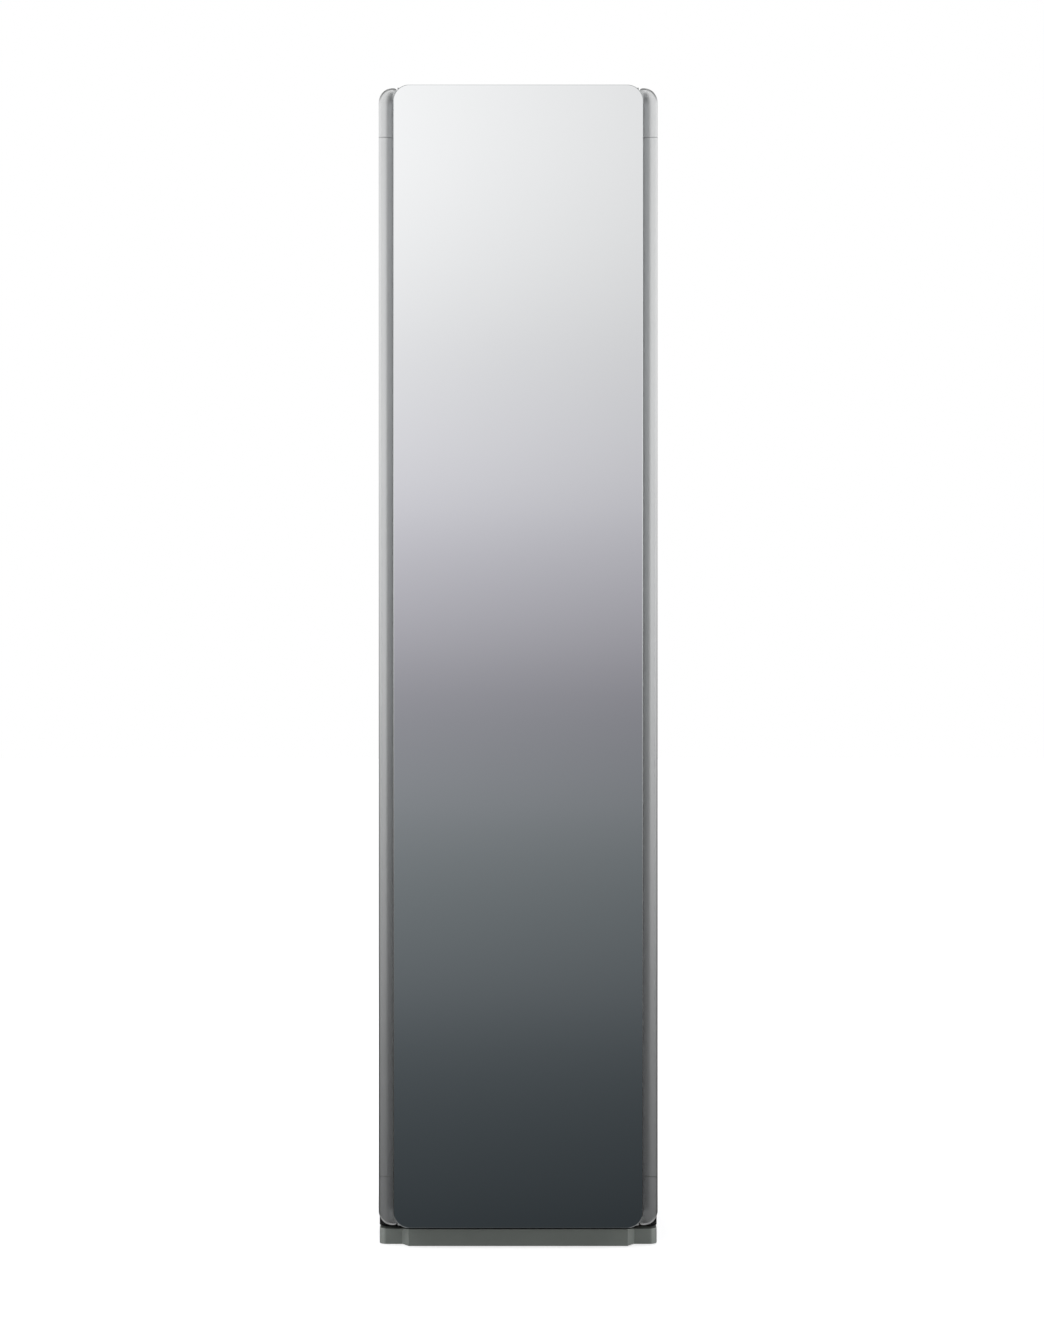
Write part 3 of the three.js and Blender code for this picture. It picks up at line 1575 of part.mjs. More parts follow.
// One section carried along X: a table on two walls, whose lips carry the sliding carriage.
function driveFrame() {
  const motorY = drive.y + motor.distance;
  const wallOut = drive.halfGap + drive.wall;
  const lipBottom = drive.lipTop - drive.lipThickness;
  const y = (offset) => drive.y + offset;
  const half = (hand) => [
    [y(hand * drive.halfGap), drive.plateBottom],
    [y(hand * drive.halfGap), drive.lipTop],
    [y(hand * (drive.halfGap - drive.lip)), drive.lipTop],
    [y(hand * (drive.halfGap - drive.lip)), lipBottom],
    [y(hand * drive.halfGap), lipBottom],
    [y(hand * drive.halfGap), ceilingTop + seat],
    [y(hand * (wallOut + driveFoot.width)), ceilingTop + seat],
    [y(hand * (wallOut + driveFoot.width)), ceilingTop + seat + driveFoot.thickness],
    [y(hand * wallOut), ceilingTop + seat + driveFoot.thickness],
  ];
  const section = [
    ...half(-1),
    [y(-wallOut), plateTop],
    [motorY + motor.plateMargin, plateTop],
    [motorY + motor.plateMargin, drive.plateBottom],
    [y(wallOut), drive.plateBottom],
    ...half(1).reverse(),
  ];
  const frame = prism(section, 'x', about(0, drive.width));
  const shaftHole = (middleY, radius) => rod(
    'z',
    [0, middleY],
    radius,
    [drive.plateBottom - overrun / 2, plateTop + overrun],
    smallSides,
  );
  return cut(frame, shaftHole(drive.y, crank.shaft + seat), shaftHole(motorY, motor.shaft + seat));
}

function driveMotor() {
  const top = drive.plateBottom - seat;
  const bottom = ceilingTop + seat;
  const profile = [
    [0, bottom],
    [motor.radius - motor.rim, bottom],
    [motor.radius, bottom + motor.rim],
    [motor.radius, top - motor.rim],
    [motor.radius - motor.rim, top],
    [0, top],
  ];
  const motorY = drive.y + motor.distance;
  const bore = rod('z', [0, motorY], motor.shaft + seat, [top - motor.radius / 3, top + overrun], smallSides);
  return cut(turned(profile, [0, motorY], coarseSides), bore);
}

function pulleyWheel(middleY, radius) {
  const profile = [
    [0, pulleyBottom],
    [radius + pulley.flangeRise, pulleyBottom],
    [radius + pulley.flangeRise, pulleyBottom + pulley.flange],
    [radius, pulleyBottom + pulley.flange],
    [radius, pulleyBottom + pulley.height - pulley.flange],
    [radius + pulley.flangeRise, pulleyBottom + pulley.height - pulley.flange],
    [radius + pulley.flangeRise, pulleyBottom + pulley.height],
    [0, pulleyBottom + pulley.height],
  ];
  return turned(profile, [0, middleY]);
}

function crankPulley() {
  const disc = rod(
    'z',
    [0, drive.y],
    crank.disc,
    [crank.discTop - crank.discHeight, crank.discTop],
    fineSides,
  );
  const shaft = rod('z', [0, drive.y], crank.shaft, [crank.discTop - seat, pulleyBottom + seat], smallSides);
  const pin = rod(
    'z',
    [0, drive.y - crank.throw],
    crank.pin,
    [carriageTop + carriage.pinLift, crank.discTop],
    smallSides,
  );
  return join(pulleyWheel(drive.y, crank.pulley), shaft, disc, pin);
}

function motorPulley() {
  const motorY = drive.y + motor.distance;
  const shaft = rod(
    'z',
    [0, motorY],
    motor.shaft,
    [drive.plateBottom - motor.shaft, pulleyBottom + seat],
    smallSides,
  );
  return join(pulleyWheel(motorY, motor.pulley), shaft);
}

// Flat loop round both pulleys: the arcs meet the straight runs where the wheels' common tangents touch.
function driveBelt() {
  const motorY = drive.y + motor.distance;
  const lean = THREE.MathUtils.radToDeg(Math.asin((crank.pulley - motor.pulley) / motor.distance));
  const loop = (grow) => [
    ...arc([0, motorY], motor.pulley + grow, lean, 180 - lean, 10),
    ...arc([0, drive.y], crank.pulley + grow, 180 - lean, 360 + lean, 20),
  ];
  const zs = about(pulleyBottom + pulley.height / 2, belt.height);
  return cut(
    prism(loop(seat + belt.thickness), 'z', zs),
    prism(loop(seat), 'z', [zs[0] - overrun, zs[1] + overrun]),
  );
}

// Hanger bar: slotted carriage above the ceiling, two stems through it, and the grooved bar below.
function hangerBar() {
  const plate = block(
    about(0, carriage.length),
    about(drive.y, 2 * carriage.halfWidth),
    [carriageBottom, carriageTop],
  );
  const slotReach = crank.throw + crank.pin + 1;
  const slot = block(
    about(0, 2 * (crank.pin + carriage.slotPlay)),
    about(drive.y, 2 * slotReach),
    [carriageBottom - overrun, carriageTop + overrun],
  );
  const stems = [-1, 1].map((hand) => rod(
    'z',
    [(hand * stem.spread) / 2, drive.y],
    stem.radius,
    [bar.height, carriageTop - seat],
    smallSides,
  ));
  const groove = (x) => [
    [bar.radius, x - bar.grooveWidth / 2 - bar.end / 2],
    [bar.groove, x - bar.grooveWidth / 2],
    [bar.groove, x + bar.grooveWidth / 2],
    [bar.radius, x + bar.grooveWidth / 2 + bar.end / 2],
  ];
  const end = bar.length / 2;
  const profile = [
    [0, -end],
    [bar.radius - bar.end, -end],
    [bar.radius, bar.end - end],
    ...[-1, 0, 1].flatMap((place) => groove(place * hanger.spacing)),
    [bar.radius, end - bar.end],
    [bar.radius - bar.end, end],
    [0, end],
  ];
  return join(cut(plate, slot), ...stems, turnedAlongX(profile, [drive.y, bar.height], coarseSides));
}

// One clothes hanger: swelling shoulders, a trouser bar between the arms, and a wire hook over the bar.
function clothesHanger(place) {
  const x = place * hanger.spacing;
  const neckZ = bar.height - hanger.neckDrop;
  const reach = hanger.span / 2;
  const droop = (share) => neckZ - hanger.shoulderDrop * Math.abs(share) ** shoulderCurveShare;
  const ring = (share, shrink) => {
    const along = Math.abs(share);
    const halfX = (hanger.neckHalf + (hanger.endHalf - hanger.neckHalf) * along ** 2) * shrink;
    const halfZ = (hanger.neckThick + (hanger.endThick - hanger.neckThick) * along) * shrink;
    return circle([0, 0], 1, shoulderSides).map(([u, v]) => [
      x + halfX * u,
      drive.y + reach * share,
      droop(share) + halfZ * v,
    ]);
  };
  const shares = repeat(shoulderRings + 1, (i) => -1 + (2 * i) / shoulderRings);
  const tip = (sign) => ring(sign * (1 + hanger.endThick / reach), 1 / 2);
  const shoulders = skin([tip(-1), ...shares.map((share) => ring(share, 1)), tip(1)]);
  const barZ = droop(trouserBar.halfLength / reach) - trouserBar.sink;
  const lowerBar = rod(
    'y',
    [x, barZ],
    trouserBar.radius,
    about(drive.y, 2 * trouserBar.halfLength),
    smallSides,
  );
  const bend = bar.groove + hook.play + hook.wire;
  const wirePoints = [
    [x, drive.y, neckZ],
    [x, drive.y, neckZ + bend],
    ...arc([drive.y, bar.height], bend, -60, hook.tipAngle, hook.steps / 2).map(([y, z]) => [x, y, z]),
  ];
  return join(shoulders, lowerBar, pipe(wirePoints, hook.wire, hook.sides, 2 * hook.steps));
}

// Assembly

const finishes = {
  mirror: { color: 0xa9adb2, roughness: 0.04, metalness: 1 },
  doorGrey: { color: 0xa6a8a9, roughness: 0.35, metalness: 0.6 },
  kickGrey: { color: 0x5b605c, roughness: 0.4, metalness: 0.3 },
  steel: { color: 0x8f9498, roughness: 0.4, metalness: 0.8 },
  darkSteel: { color: 0x2e3033, roughness: 0.5, metalness: 0.5 },
  paintedSide: { color: 0x6d7072, roughness: 0.45, metalness: 0.2 },
  lightPlastic: { color: 0xd8dadb, roughness: 0.5, metalness: 0 },
  greyPlastic: { color: 0x8a8d90, roughness: 0.55, metalness: 0 },
  darkPlastic: { color: 0x35383b, roughness: 0.55, metalness: 0 },
  tankPlastic: { color: 0x9fb0bb, roughness: 0.2, metalness: 0 },
  lens: { color: 0xf4f3ea, roughness: 0.3, metalness: 0 },
  rubber: { color: 0x2a2b2c, roughness: 0.8, metalness: 0 },
  foam: { color: 0xe9e6da, roughness: 0.9, metalness: 0 },
  board: { color: 0x1f5a3a, roughness: 0.6, metalness: 0 },
  copper: { color: 0xb87348, roughness: 0.35, metalness: 1 },
  aluminium: { color: 0xc2c5c8, roughness: 0.35, metalness: 1 },
  wood: { color: 0x8a5c34, roughness: 0.5, metalness: 0 },
};

const shellPieces = [
  ['side_panel_left', sidePanel(-1), 'paintedSide'],
  ['side_panel_right', sidePanel(1), 'paintedSide'],
  ['rear_panel', rearCover(), 'steel'],
  ['top_cover', topCoverShell(), 'paintedSide'],
  ['kick_plate', kickPlate(), 'kickGrey'],
  ['base_pan', basePan(), 'darkSteel'],
  ['levelling_foot_left', levellingFoot(-1), 'darkPlastic'],
  ['levelling_foot_right', levellingFoot(1), 'darkPlastic'],
  ['upper_hinge', upperHingePlate(), 'steel'],
  ['lower_hinge', lowerHingeBracket(), 'steel'],
];

const cavityPieces = [
  ['inner_side_left', innerSide(-1), 'lightPlastic'],
  ['inner_side_right', innerSide(1), 'lightPlastic'],
  ['inner_back', innerBack(), 'lightPlastic'],
  ['inner_ceiling', innerCeiling(), 'lightPlastic'],
  ['cavity_floor', cavityFloorPlate(), 'greyPlastic'],
  ['insulation_jacket', insulationJacket(), 'foam'],
  ['interior_lamp', interiorLamp(), 'lens'],
  ['shelf', liftOutShelf(), 'greyPlastic'],
  ['lint_filter', lintFilter(), 'darkPlastic'],
  ['aroma_case', aromaCase(), 'lightPlastic'],
  ['steam_nozzle', steamNozzle(), 'darkPlastic'],
];

const waterPieces = [
  ['tank_bay', tankBay(), 'darkPlastic'],
  ['supply_tank', waterTank(-1), 'tankPlastic'],
  ['supply_tank_lid', tankLid(-1, tank.filler), 'greyPlastic'],
  ['drain_tank', waterTank(1), 'tankPlastic'],
  ['drain_tank_lid', tankLid(1, tank.drainInlet), 'greyPlastic'],
];

const machinePieces = [
  ['duct_tray', ductTray(), 'darkPlastic'],
  ['evaporator', finBlock(evaporatorYs), 'aluminium'],
  ['condenser', finBlock(condenserYs), 'aluminium'],
  ['blower_housing', blowerHousing(), 'darkPlastic'],
  ['blower_impeller', blowerImpeller(), 'greyPlastic'],
  ['compressor', compressorCan(), 'darkSteel'],
  ['refrigerant_pipe', refrigerantPipe(), 'copper'],
  ['steam_generator', steamGenerator(), 'aluminium'],
  ['steam_hose', hosePipe(), 'rubber'],
  ['drain_pump', drainPump(), 'darkPlastic'],
  ['control_box', controlBox(), 'greyPlastic'],
];

const drivePieces = [
  ['drive_frame', driveFrame(), 'steel'],
  ['drive_motor', driveMotor(), 'darkSteel'],
  ['drive_belt', driveBelt(), 'rubber'],
  ['motor_pulley', motorPulley(), 'aluminium'],
  ['crank_pulley', crankPulley(), 'aluminium'],
  ['hanger_bar', hangerBar(), 'steel'],
  ['hanger_left', clothesHanger(-1), 'wood'],
  ['hanger_middle', clothesHanger(0), 'wood'],
  ['hanger_right', clothesHanger(1), 'wood'],
];

const doorPieces = [
  ['mirror_glass', mirrorGlass(), 'mirror'],
  ['mirror_carrier', mirrorCarrier(), 'darkPlastic'],
  ['touch_board', touchBoard(), 'board'],
  ['door_core', doorCore(), 'foam'],
  ['door_upper_cap', doorUpperCap(), 'doorGrey'],
  ['door_lower_cap', doorLowerCap(), 'doorGrey'],
  ['door_side_trim_left', doorSideTrim(-1), 'doorGrey'],
  ['door_side_trim_right', doorSideTrim(1), 'doorGrey'],
  ['door_inner_liner', doorInnerLiner(), 'lightPlastic'],
  ['door_gasket', doorGasket(), 'rubber'],
  ['press_base', pressBase(), 'greyPlastic'],
  ['press_lid', pressLid(), 'lightPlastic'],
  ['press_latch', pressLatch(), 'darkPlastic'],
  ['trouser_hanger', trouserHanger(), 'greyPlastic'],
];

function groupOf(pieces) {
  const group = new THREE.Group();
  pieces.forEach(([name, solid, finish]) => {
    const mesh = new THREE.Mesh(toGeometry(solid), new THREE.MeshStandardMaterial(finishes[finish]));
    mesh.name = name;
    group.add(mesh);
  });
  return group;
}

const steamCabinet = new THREE.Group();
[shellPieces, cavityPieces, waterPieces, machinePieces, drivePieces, doorPieces].forEach((pieces) => {
  steamCabinet.add(groupOf(pieces));
});

export default steamCabinet;
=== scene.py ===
# %% [markdown]
# # A clothes care steam cabinet, surface by surface
#
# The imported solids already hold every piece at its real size, so this lesson only gives them their looks.
# Visible pieces are made again with soft edges and smooth curves, and every surface gets a finish that is
# worked out by nodes. The whole scene is in metres, and +Z is up.

import json
import math

import bmesh
import bpy
import numpy as np
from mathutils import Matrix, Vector


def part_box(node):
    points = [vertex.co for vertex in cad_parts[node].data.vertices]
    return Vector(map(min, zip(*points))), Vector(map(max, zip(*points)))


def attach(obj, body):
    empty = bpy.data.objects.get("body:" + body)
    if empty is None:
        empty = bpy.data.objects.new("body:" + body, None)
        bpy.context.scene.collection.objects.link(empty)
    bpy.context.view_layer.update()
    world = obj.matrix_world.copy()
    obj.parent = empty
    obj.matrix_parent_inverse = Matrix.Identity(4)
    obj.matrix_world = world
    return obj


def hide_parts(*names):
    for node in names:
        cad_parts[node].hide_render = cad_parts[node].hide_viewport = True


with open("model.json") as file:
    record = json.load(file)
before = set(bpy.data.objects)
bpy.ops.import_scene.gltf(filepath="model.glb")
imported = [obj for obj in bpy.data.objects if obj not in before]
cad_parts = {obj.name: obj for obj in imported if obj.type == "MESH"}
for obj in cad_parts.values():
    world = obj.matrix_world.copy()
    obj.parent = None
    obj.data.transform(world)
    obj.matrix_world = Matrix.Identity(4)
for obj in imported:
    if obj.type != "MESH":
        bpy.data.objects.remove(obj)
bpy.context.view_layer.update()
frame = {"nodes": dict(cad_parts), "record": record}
nodes = frame["nodes"]
mm = 0.001
print("solids loaded:", len(nodes))

# %% [markdown]
# ## Meshes from arrays
#
# A mesh is a list of points and a list of faces. Both can be worked out for the whole surface at once with
# numpy: rings of points are stacked into a grid, and each face joins four neighbours of that grid. This is
# faster than a loop over points, and the formula of a shape stays readable.


# %% Points and faces on a grid
def make_object(name, points, faces):
    """Puts points (x, y, z) and faces (lists of point numbers) into a new object at the origin."""
    mesh = bpy.data.meshes.new(name)
    mesh.from_pydata([tuple(p) for p in np.asarray(points, float).round(7).tolist()], [], faces)
    mesh.update()
    made = bpy.data.objects.new(name, mesh)
    bpy.context.scene.collection.objects.link(made)
    return made


def grid_faces(rows, columns):
    """Faces of a grid whose rows are closed: (r, c) is joined to (r, c+1), (r+1, c+1) and (r+1, c)."""
    c = np.arange(columns)[None, :]
    right = (c + 1) % columns
    here = np.arange(rows - 1)[:, None] * columns
    above = here + columns
    return np.stack([here + c, here + right, above + right, above + c], -1).reshape(-1, 4).tolist()


def points_of(mesh):
    """All points of a mesh, one row (x, y, z) for each."""
    points = np.zeros(len(mesh.vertices) * 3)
    mesh.vertices.foreach_get("co", points)
    return points.reshape(-1, 3)


def signed_volume(mesh):
    """Volume of a closed mesh, the sum of a . (b x c) / 6 over its triangles, above 0 if faces look out."""
    mesh.calc_loop_triangles()
    corners = np.zeros(len(mesh.loop_triangles) * 3, int)
    mesh.loop_triangles.foreach_get("vertices", corners)
    a, b, c = points_of(mesh)[corners].reshape(-1, 3, 3).transpose(1, 0, 2)
    return float(np.einsum("ij,ij->i", a, np.cross(b, c)).sum() / 6)


def smooth_shading(thing, angle=32):
    """Shades faces smoothly, except over edges that bend by more than the angle, in degrees."""
    mesh = thing.data
    mesh.polygons.foreach_set("use_smooth", np.ones(len(mesh.polygons), bool))
    mesh.set_sharp_from_angle(angle=math.radians(angle))


def closed_body(name, rings, faces):
    """An object from rings of points, with its faces turned to look out."""
    made = make_object(name, rings.reshape(-1, 3), faces)
    if signed_volume(made.data) < 0:
        made.data.flip_normals()
    return made


def skin(name, rings):
    """A closed body: one ring of points after the other, with a flat face over the first and the last."""
    rings = np.asarray(rings, float)
    rows, columns = rings.shape[:2]
    faces = grid_faces(rows, columns)
    faces.append(list(range(columns))[::-1])
    faces.append([(rows - 1) * columns + i for i in range(columns)])
    made = closed_body(name, rings, faces)
    smooth_shading(made)
    return made


print("grid of 3 by 4 points has", len(grid_faces(3, 4)), "faces")


# %% [markdown]
# ## Outlines
#
# The mirror, the door rim and the gasket are drawn from rounded rectangles. One function returns such
# an outline, pulled in by any distance. While the corner radius lasts, only the radius shrinks, so
# outlines side by side stay parallel.


# %% Rounded rectangles
def rounded_ring(centre, half, radius, inset=0.0, steps=10, least=0.0002):
    """Points of a rectangle with quarter circles at its corners, counted anticlockwise.

    Corner k sits at centre + sign_k * (half - inset - r), and its points are that + r * (cos a, sin a),
    where r is radius - inset but never less than `least`.
    """
    r = max(radius - inset, least)
    reach = np.array(half, float) - inset - r
    signs = np.array([[1, 1], [-1, 1], [-1, -1], [1, -1]], float)
    angle = np.radians(np.linspace(0, 90, steps + 1)[None, :] + np.array([0, 90, 180, 270])[:, None])
    circle = np.stack([np.cos(angle), np.sin(angle)], -1) * r
    points = circle + (signs * reach)[:, None, :] + np.array(centre, float)
    return points.reshape(-1, 2)


def upright(ring, y):
    """Stands a flat ring of (x, z) up at depth y."""
    return np.stack([ring[:, 0], np.full(len(ring), y), ring[:, 1]], -1)


def level(ring, z):
    """Lays a flat ring of (x, y) down at height z."""
    return np.column_stack([ring, np.full(len(ring), z)])


def middle_and_half(node):
    """Middle and half size of a solid's box."""
    low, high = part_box(node)
    low, high = np.array(low), np.array(high)
    return (low + high) / 2, (high - low) / 2


print("a ring has", len(rounded_ring((0, 0), (1, 1), 0.2)), "points")


# %% [markdown]
# ## Soft edges on the solids
#
# No real edge is a knife edge: even folded sheet has a radius, and that radius is what catches the light.
# Where a solid already has the right shape, a copy of it is merged, its flat triangles are joined to whole
# faces, and a Bevel modifier rounds the edges. The copy then stands in for the solid.


# %% Copies with rounded edges
def place(thing, body, slot, *replaced):
    """Lets a piece ride on its body and hides the solids it stands for; the slot it is given is not used.
    """
    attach(thing, body)
    if replaced:
        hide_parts(*replaced)
    return thing


def give(thing, finish):
    """Makes a finish the only material of a piece."""
    thing.data.materials.clear()
    thing.data.materials.append(finish)
    return thing


def rounded(thing, width, angle=32):
    """Adds a Bevel modifier that rounds every edge sharper than the angle, in degrees."""
    bevel = thing.modifiers.new("soft_edges", "BEVEL")
    bevel.width = width
    bevel.segments = 2
    bevel.limit_method = "ANGLE"
    bevel.angle_limit = math.radians(angle)
    return thing


def level_faces(thing):
    """Lets the largest face at a corner set its shading, so a wide face looks flat up to its soft edge."""
    smooth_shading(thing, 40)
    weighted = thing.modifiers.new("flat_faces", "WEIGHTED_NORMAL")
    weighted.weight = 100
    weighted.keep_sharp = True
    return applied(thing)


def applied(thing):
    """Replaces the mesh by its result with all modifiers worked out."""
    graph = bpy.context.evaluated_depsgraph_get()
    result = bpy.data.meshes.new_from_object(thing.evaluated_get(graph))
    thing.modifiers.clear()
    thing.data = result
    return thing


body_of_node = {n: b for b, members in frame["record"]["behaviour"]["bodies"].items() for n in members}
slot_of_node = {s["node"]: s["material_slot"] for s in frame["record"]["subparts"]}


def object_from(work, name):
    """Ends the work on a mesh and links it to the scene as an object."""
    mesh = bpy.data.meshes.new(name)
    work.to_mesh(mesh)
    work.free()
    made = bpy.data.objects.new(name, mesh)
    bpy.context.scene.collection.objects.link(made)
    return made


def merged_copy(node, name):
    """A copy of a solid's mesh with doubles merged and flat areas joined to single faces."""
    work = bmesh.new()
    work.from_mesh(nodes[node].data)
    bmesh.ops.remove_doubles(work, verts=work.verts, dist=0.01 * mm)
    bmesh.ops.dissolve_limit(work, angle_limit=math.radians(1), verts=work.verts, edges=work.edges)
    return object_from(work, name)


def softened(node, finish, width):
    """The node's own shape with rounded edges, standing for the node."""
    made = merged_copy(node, f"{node}_soft")
    level_faces(applied(rounded(made, width)))
    give(made, finish)
    return place(made, body_of_node[node], slot_of_node[node], node)


# %% [markdown]
# ## Finishes as formulas
#
# A finish is a small network of nodes. To read like a formula, a socket is wrapped in a class that knows
# plus, minus, times and greater than, and each of those adds a Math node. Other nodes come from one method.
# Noise reads Object coordinates, in metres, so a scale of 1000 means a feature of about a millimetre.


# %% A class for finishes
class Field:
    """A number or colour that changes over a surface: the output of a node."""

    def __init__(self, finish, socket):
        self.finish = finish
        self.socket = socket

    def maths(self, operation, first, second):
        return self.finish.node("ShaderNodeMath", {"operation": operation}, {0: first, 1: second})

    def __add__(self, other):
        return self.maths("ADD", self, other)

    def __mul__(self, other):
        return self.maths("MULTIPLY", self, other)

    def __sub__(self, other):
        return self.maths("SUBTRACT", self, other)

    def __rsub__(self, other):
        return self.maths("SUBTRACT", other, self)

    def __gt__(self, other):
        return self.maths("GREATER_THAN", self, other)

    def __abs__(self):
        return self.finish.node("ShaderNodeMath", {"operation": "ABSOLUTE"}, {0: self})

    def or_larger(self, other):
        return self.maths("MAXIMUM", self, other)

    __radd__ = __add__
    __rmul__ = __mul__


class Nodes:
    """A node tree that is filled by one method."""

    def __init__(self, tree):
        self.tree = tree
        tree.nodes.clear()

    def node(self, kind, settings=None, values=None, output=0):
        made = self.tree.nodes.new(kind)
        for key, setting in (settings or {}).items():
            if key == "stops":
                self.fill_ramp(made.color_ramp, setting)
            else:
                setattr(made, key, setting)
        for key, value in (values or {}).items():
            if isinstance(value, Field):
                self.tree.links.new(value.socket, made.inputs[key])
            else:
                made.inputs[key].default_value = value
        return None if output is None else Field(self, made.outputs[output])

    @staticmethod
    def fill_ramp(ramp, stops):
        while len(ramp.elements) > 1:
            ramp.elements.remove(ramp.elements[-1])
        for number, (position, colour) in enumerate(stops):
            element = ramp.elements[0] if number == 0 else ramp.elements.new(position)
            element.position = position
            element.color = (*colour, 1)

    def place_on_object(self, scale=(1, 1, 1), turn=(0, 0, 0)):
        """Object coordinates, stretched and turned."""
        where = self.node("ShaderNodeTexCoord", output="Object")
        return self.node("ShaderNodeMapping", {}, {"Vector": where, "Scale": scale, "Rotation": turn})

    def noise(self, where, scale, detail=2.0, roughness=0.5):
        return self.node("ShaderNodeTexNoise", {}, {"Vector": where, "Scale": scale, "Detail": detail,
                                                    "Roughness": roughness})

    def blend(self, share, first, second):
        """Mixes two colours; share is 0 for the first and 1 for the second."""
        mix = {"data_type": "RGBA"}
        return self.node("ShaderNodeMix", mix, {0: share, 6: first, 7: second}, output=2)

    def fade(self, value, start, end, low=0.0, high=1.0):
        """Goes from low to high while the value goes from start to end, and stays level beyond them."""
        values = {0: value, 1: start, 2: end, 3: low, 4: high}
        return self.node("ShaderNodeMapRange", {"clamp": True}, values)

    def ramp(self, value, stops):
        """Reads a colour off a strip of stops, each a position and a colour, along a smooth curve."""
        made = self.node("ShaderNodeValToRGB", {"stops": stops}, {0: value})
        self.tree.nodes[-1].color_ramp.interpolation = "CARDINAL"
        return made

    def parts(self, kind, values, *names):
        """Several outputs of one node, by name or number."""
        self.node(kind, {}, values)
        outputs = self.tree.nodes[-1].outputs
        return [Field(self, outputs[name]) for name in names]

    def one_axis(self, vector, axis):
        return self.parts("ShaderNodeSeparateXYZ", {0: vector}, axis)[0]

    def bump(self, height, strength, distance):
        values = {"Height": height, "Strength": strength, "Distance": distance}
        return self.node("ShaderNodeBump", {}, values)


def rgba(code, factor=1.0):
    """A colour written as RRGGBB in linear light, times a factor.

    Above the toe that is ((c + 0.055) / 1.055) ** 2.4, and below it c / 12.92.
    """
    shown = np.array([int(code[i:i + 2], 16) for i in (0, 2, 4)]) / 255
    linear = np.where(shown <= 0.04045, shown / 12.92, ((shown + 0.055) / 1.055) ** 2.4) * factor
    return (*linear.tolist(), 1.0)


class Finish(Nodes):
    """A material that is a single Principled surface."""

    def __init__(self, name):
        self.material = bpy.data.materials.new(name)
        self.material.use_nodes = True
        super().__init__(self.material.node_tree)

    def surface(self, **sockets):
        """Sets the Principled sockets; words in their names are joined by an underscore."""
        values = {key.replace("_", " "): value for key, value in sockets.items()}
        shader = self.node("ShaderNodeBsdfPrincipled", {}, values)
        self.node("ShaderNodeOutputMaterial", {}, {"Surface": shader}, output=None)
        return self.material


print("mid grey in linear light:", round(rgba("808080")[0], 3))


# %% [markdown]
# ## Sprayed and plated metal
#
# Sprayed paint is never quite flat: it has a fine orange peel, and metallic paint holds flakes that change
# its gloss from point to point. Zinc plate shows large crystals of slightly different brightness. Brushed
# metal is drawn out along one direction, which a stretched noise gives.


# %% Finishes of metal
flake_scale, peel_scale = 2400.0, 320.0
peel_height = 0.2 * mm


def spray(f, peel, tone_scale=4.0):
    """What all paints share: the place on the piece, a slow change of tone, flakes, and orange peel."""
    where = f.place_on_object()
    tone = f.noise(where, tone_scale, 3.0)
    flakes = f.noise(where, flake_scale, 1.0)
    return where, tone, flakes, f.bump(f.noise(where, peel_scale, 2.0), peel, peel_height)


def painted(name, colour, metallic=0.3, roughness=0.4):
    """Plain sprayed paint: its tone varies by 5 per cent, and the flakes change its roughness by 0.05."""
    f = Finish(name)
    _, tone, flakes, peel = spray(f, 0.05)
    return f.surface(
        Base_Color=f.blend(tone, rgba(colour, 0.95), rgba(colour, 1.05)),
        Metallic=metallic,
        Roughness=flakes * 0.10 + (roughness - 0.05),
        Normal=peel,
    )


def scooped_paint(name, colour, rim_x, scoop_x):
    """Metallic paint of the door, a little smoother in the scoop, where it flows together."""
    f = Finish(name)
    where, tone, flakes, peel = spray(f, 0.02)
    smooth = f.fade(abs(f.one_axis(where, "X")), rim_x, scoop_x)
    return f.surface(
        Base_Color=f.blend(tone, rgba(colour, 0.97), rgba(colour, 1.03)),
        Metallic=0.95,
        Roughness=flakes * 0.06 + 0.27 - smooth * 0.02,
        Normal=peel,
        Anisotropic=0.8,
    )


def kick_paint_with_painted_highlights(name, colour, highlight_colour, flat_x, end_x):
    """Kick plate paint with a painted highlight: its two ends, and the faces that look sideways, are
    painted a paler tone.
    """
    f = Finish(name)
    where, tone, flakes, peel = spray(f, 0.04, 30.0)
    # Painted highlight: the outer ends are painted paler, standing in for light on their rounded corners.
    end = f.fade(abs(f.one_axis(where, "X")), flat_x, end_x, 0.0, 0.8)
    # Painted highlight: faces that look sideways are painted paler, standing in for light from the side.
    side = f.fade(abs(f.one_axis(f.node("ShaderNodeNewGeometry", output="Normal"), "X")), 0.3, 0.7)
    paint = f.blend(tone, rgba(colour, 0.96), rgba(colour, 1.04))
    return f.surface(
        Base_Color=f.blend(end.or_larger(side), paint, rgba(highlight_colour)),
        Metallic=0.55,
        Roughness=flakes * 0.10 + 0.30 + tone * 0.04,
        Normal=peel,
    )


def paint_with_shaded_front_edge(name, colour, edge_y):
    """Painted sheet whose front edge, nearer the door than `edge_y`, is painted near black as a painted
    shade.
    """
    f = Finish(name)
    where, tone, flakes, peel = spray(f, 0.05)
    # Painted shade: nearer the door than edge_y the colour is near black, for the shadow behind the door.
    body = f.one_axis(where, "Y") > edge_y
    paint = f.blend(tone, rgba(colour, 0.95), rgba(colour, 1.05))
    return f.surface(
        Base_Color=f.blend(body, rgba("0b0b0c"), paint),
        Metallic=body * 0.45,
        Roughness=flakes * 0.10 + 0.35,
        Normal=peel,
    )


def brushed(name, colour, along, roughness):
    """Brushed metal: noise squeezed across the brush's way, by the factors in `along`."""
    f = Finish(name)
    lines = f.noise(f.place_on_object(along), 900.0, 3.0)
    return f.surface(
        Base_Color=f.blend(lines, rgba(colour, 0.86), rgba(colour, 1.10)),
        Metallic=1.0,
        Roughness=lines * 0.16 + (roughness - 0.08),
        Normal=f.bump(lines, 0.12, 0.2 * mm),
    )


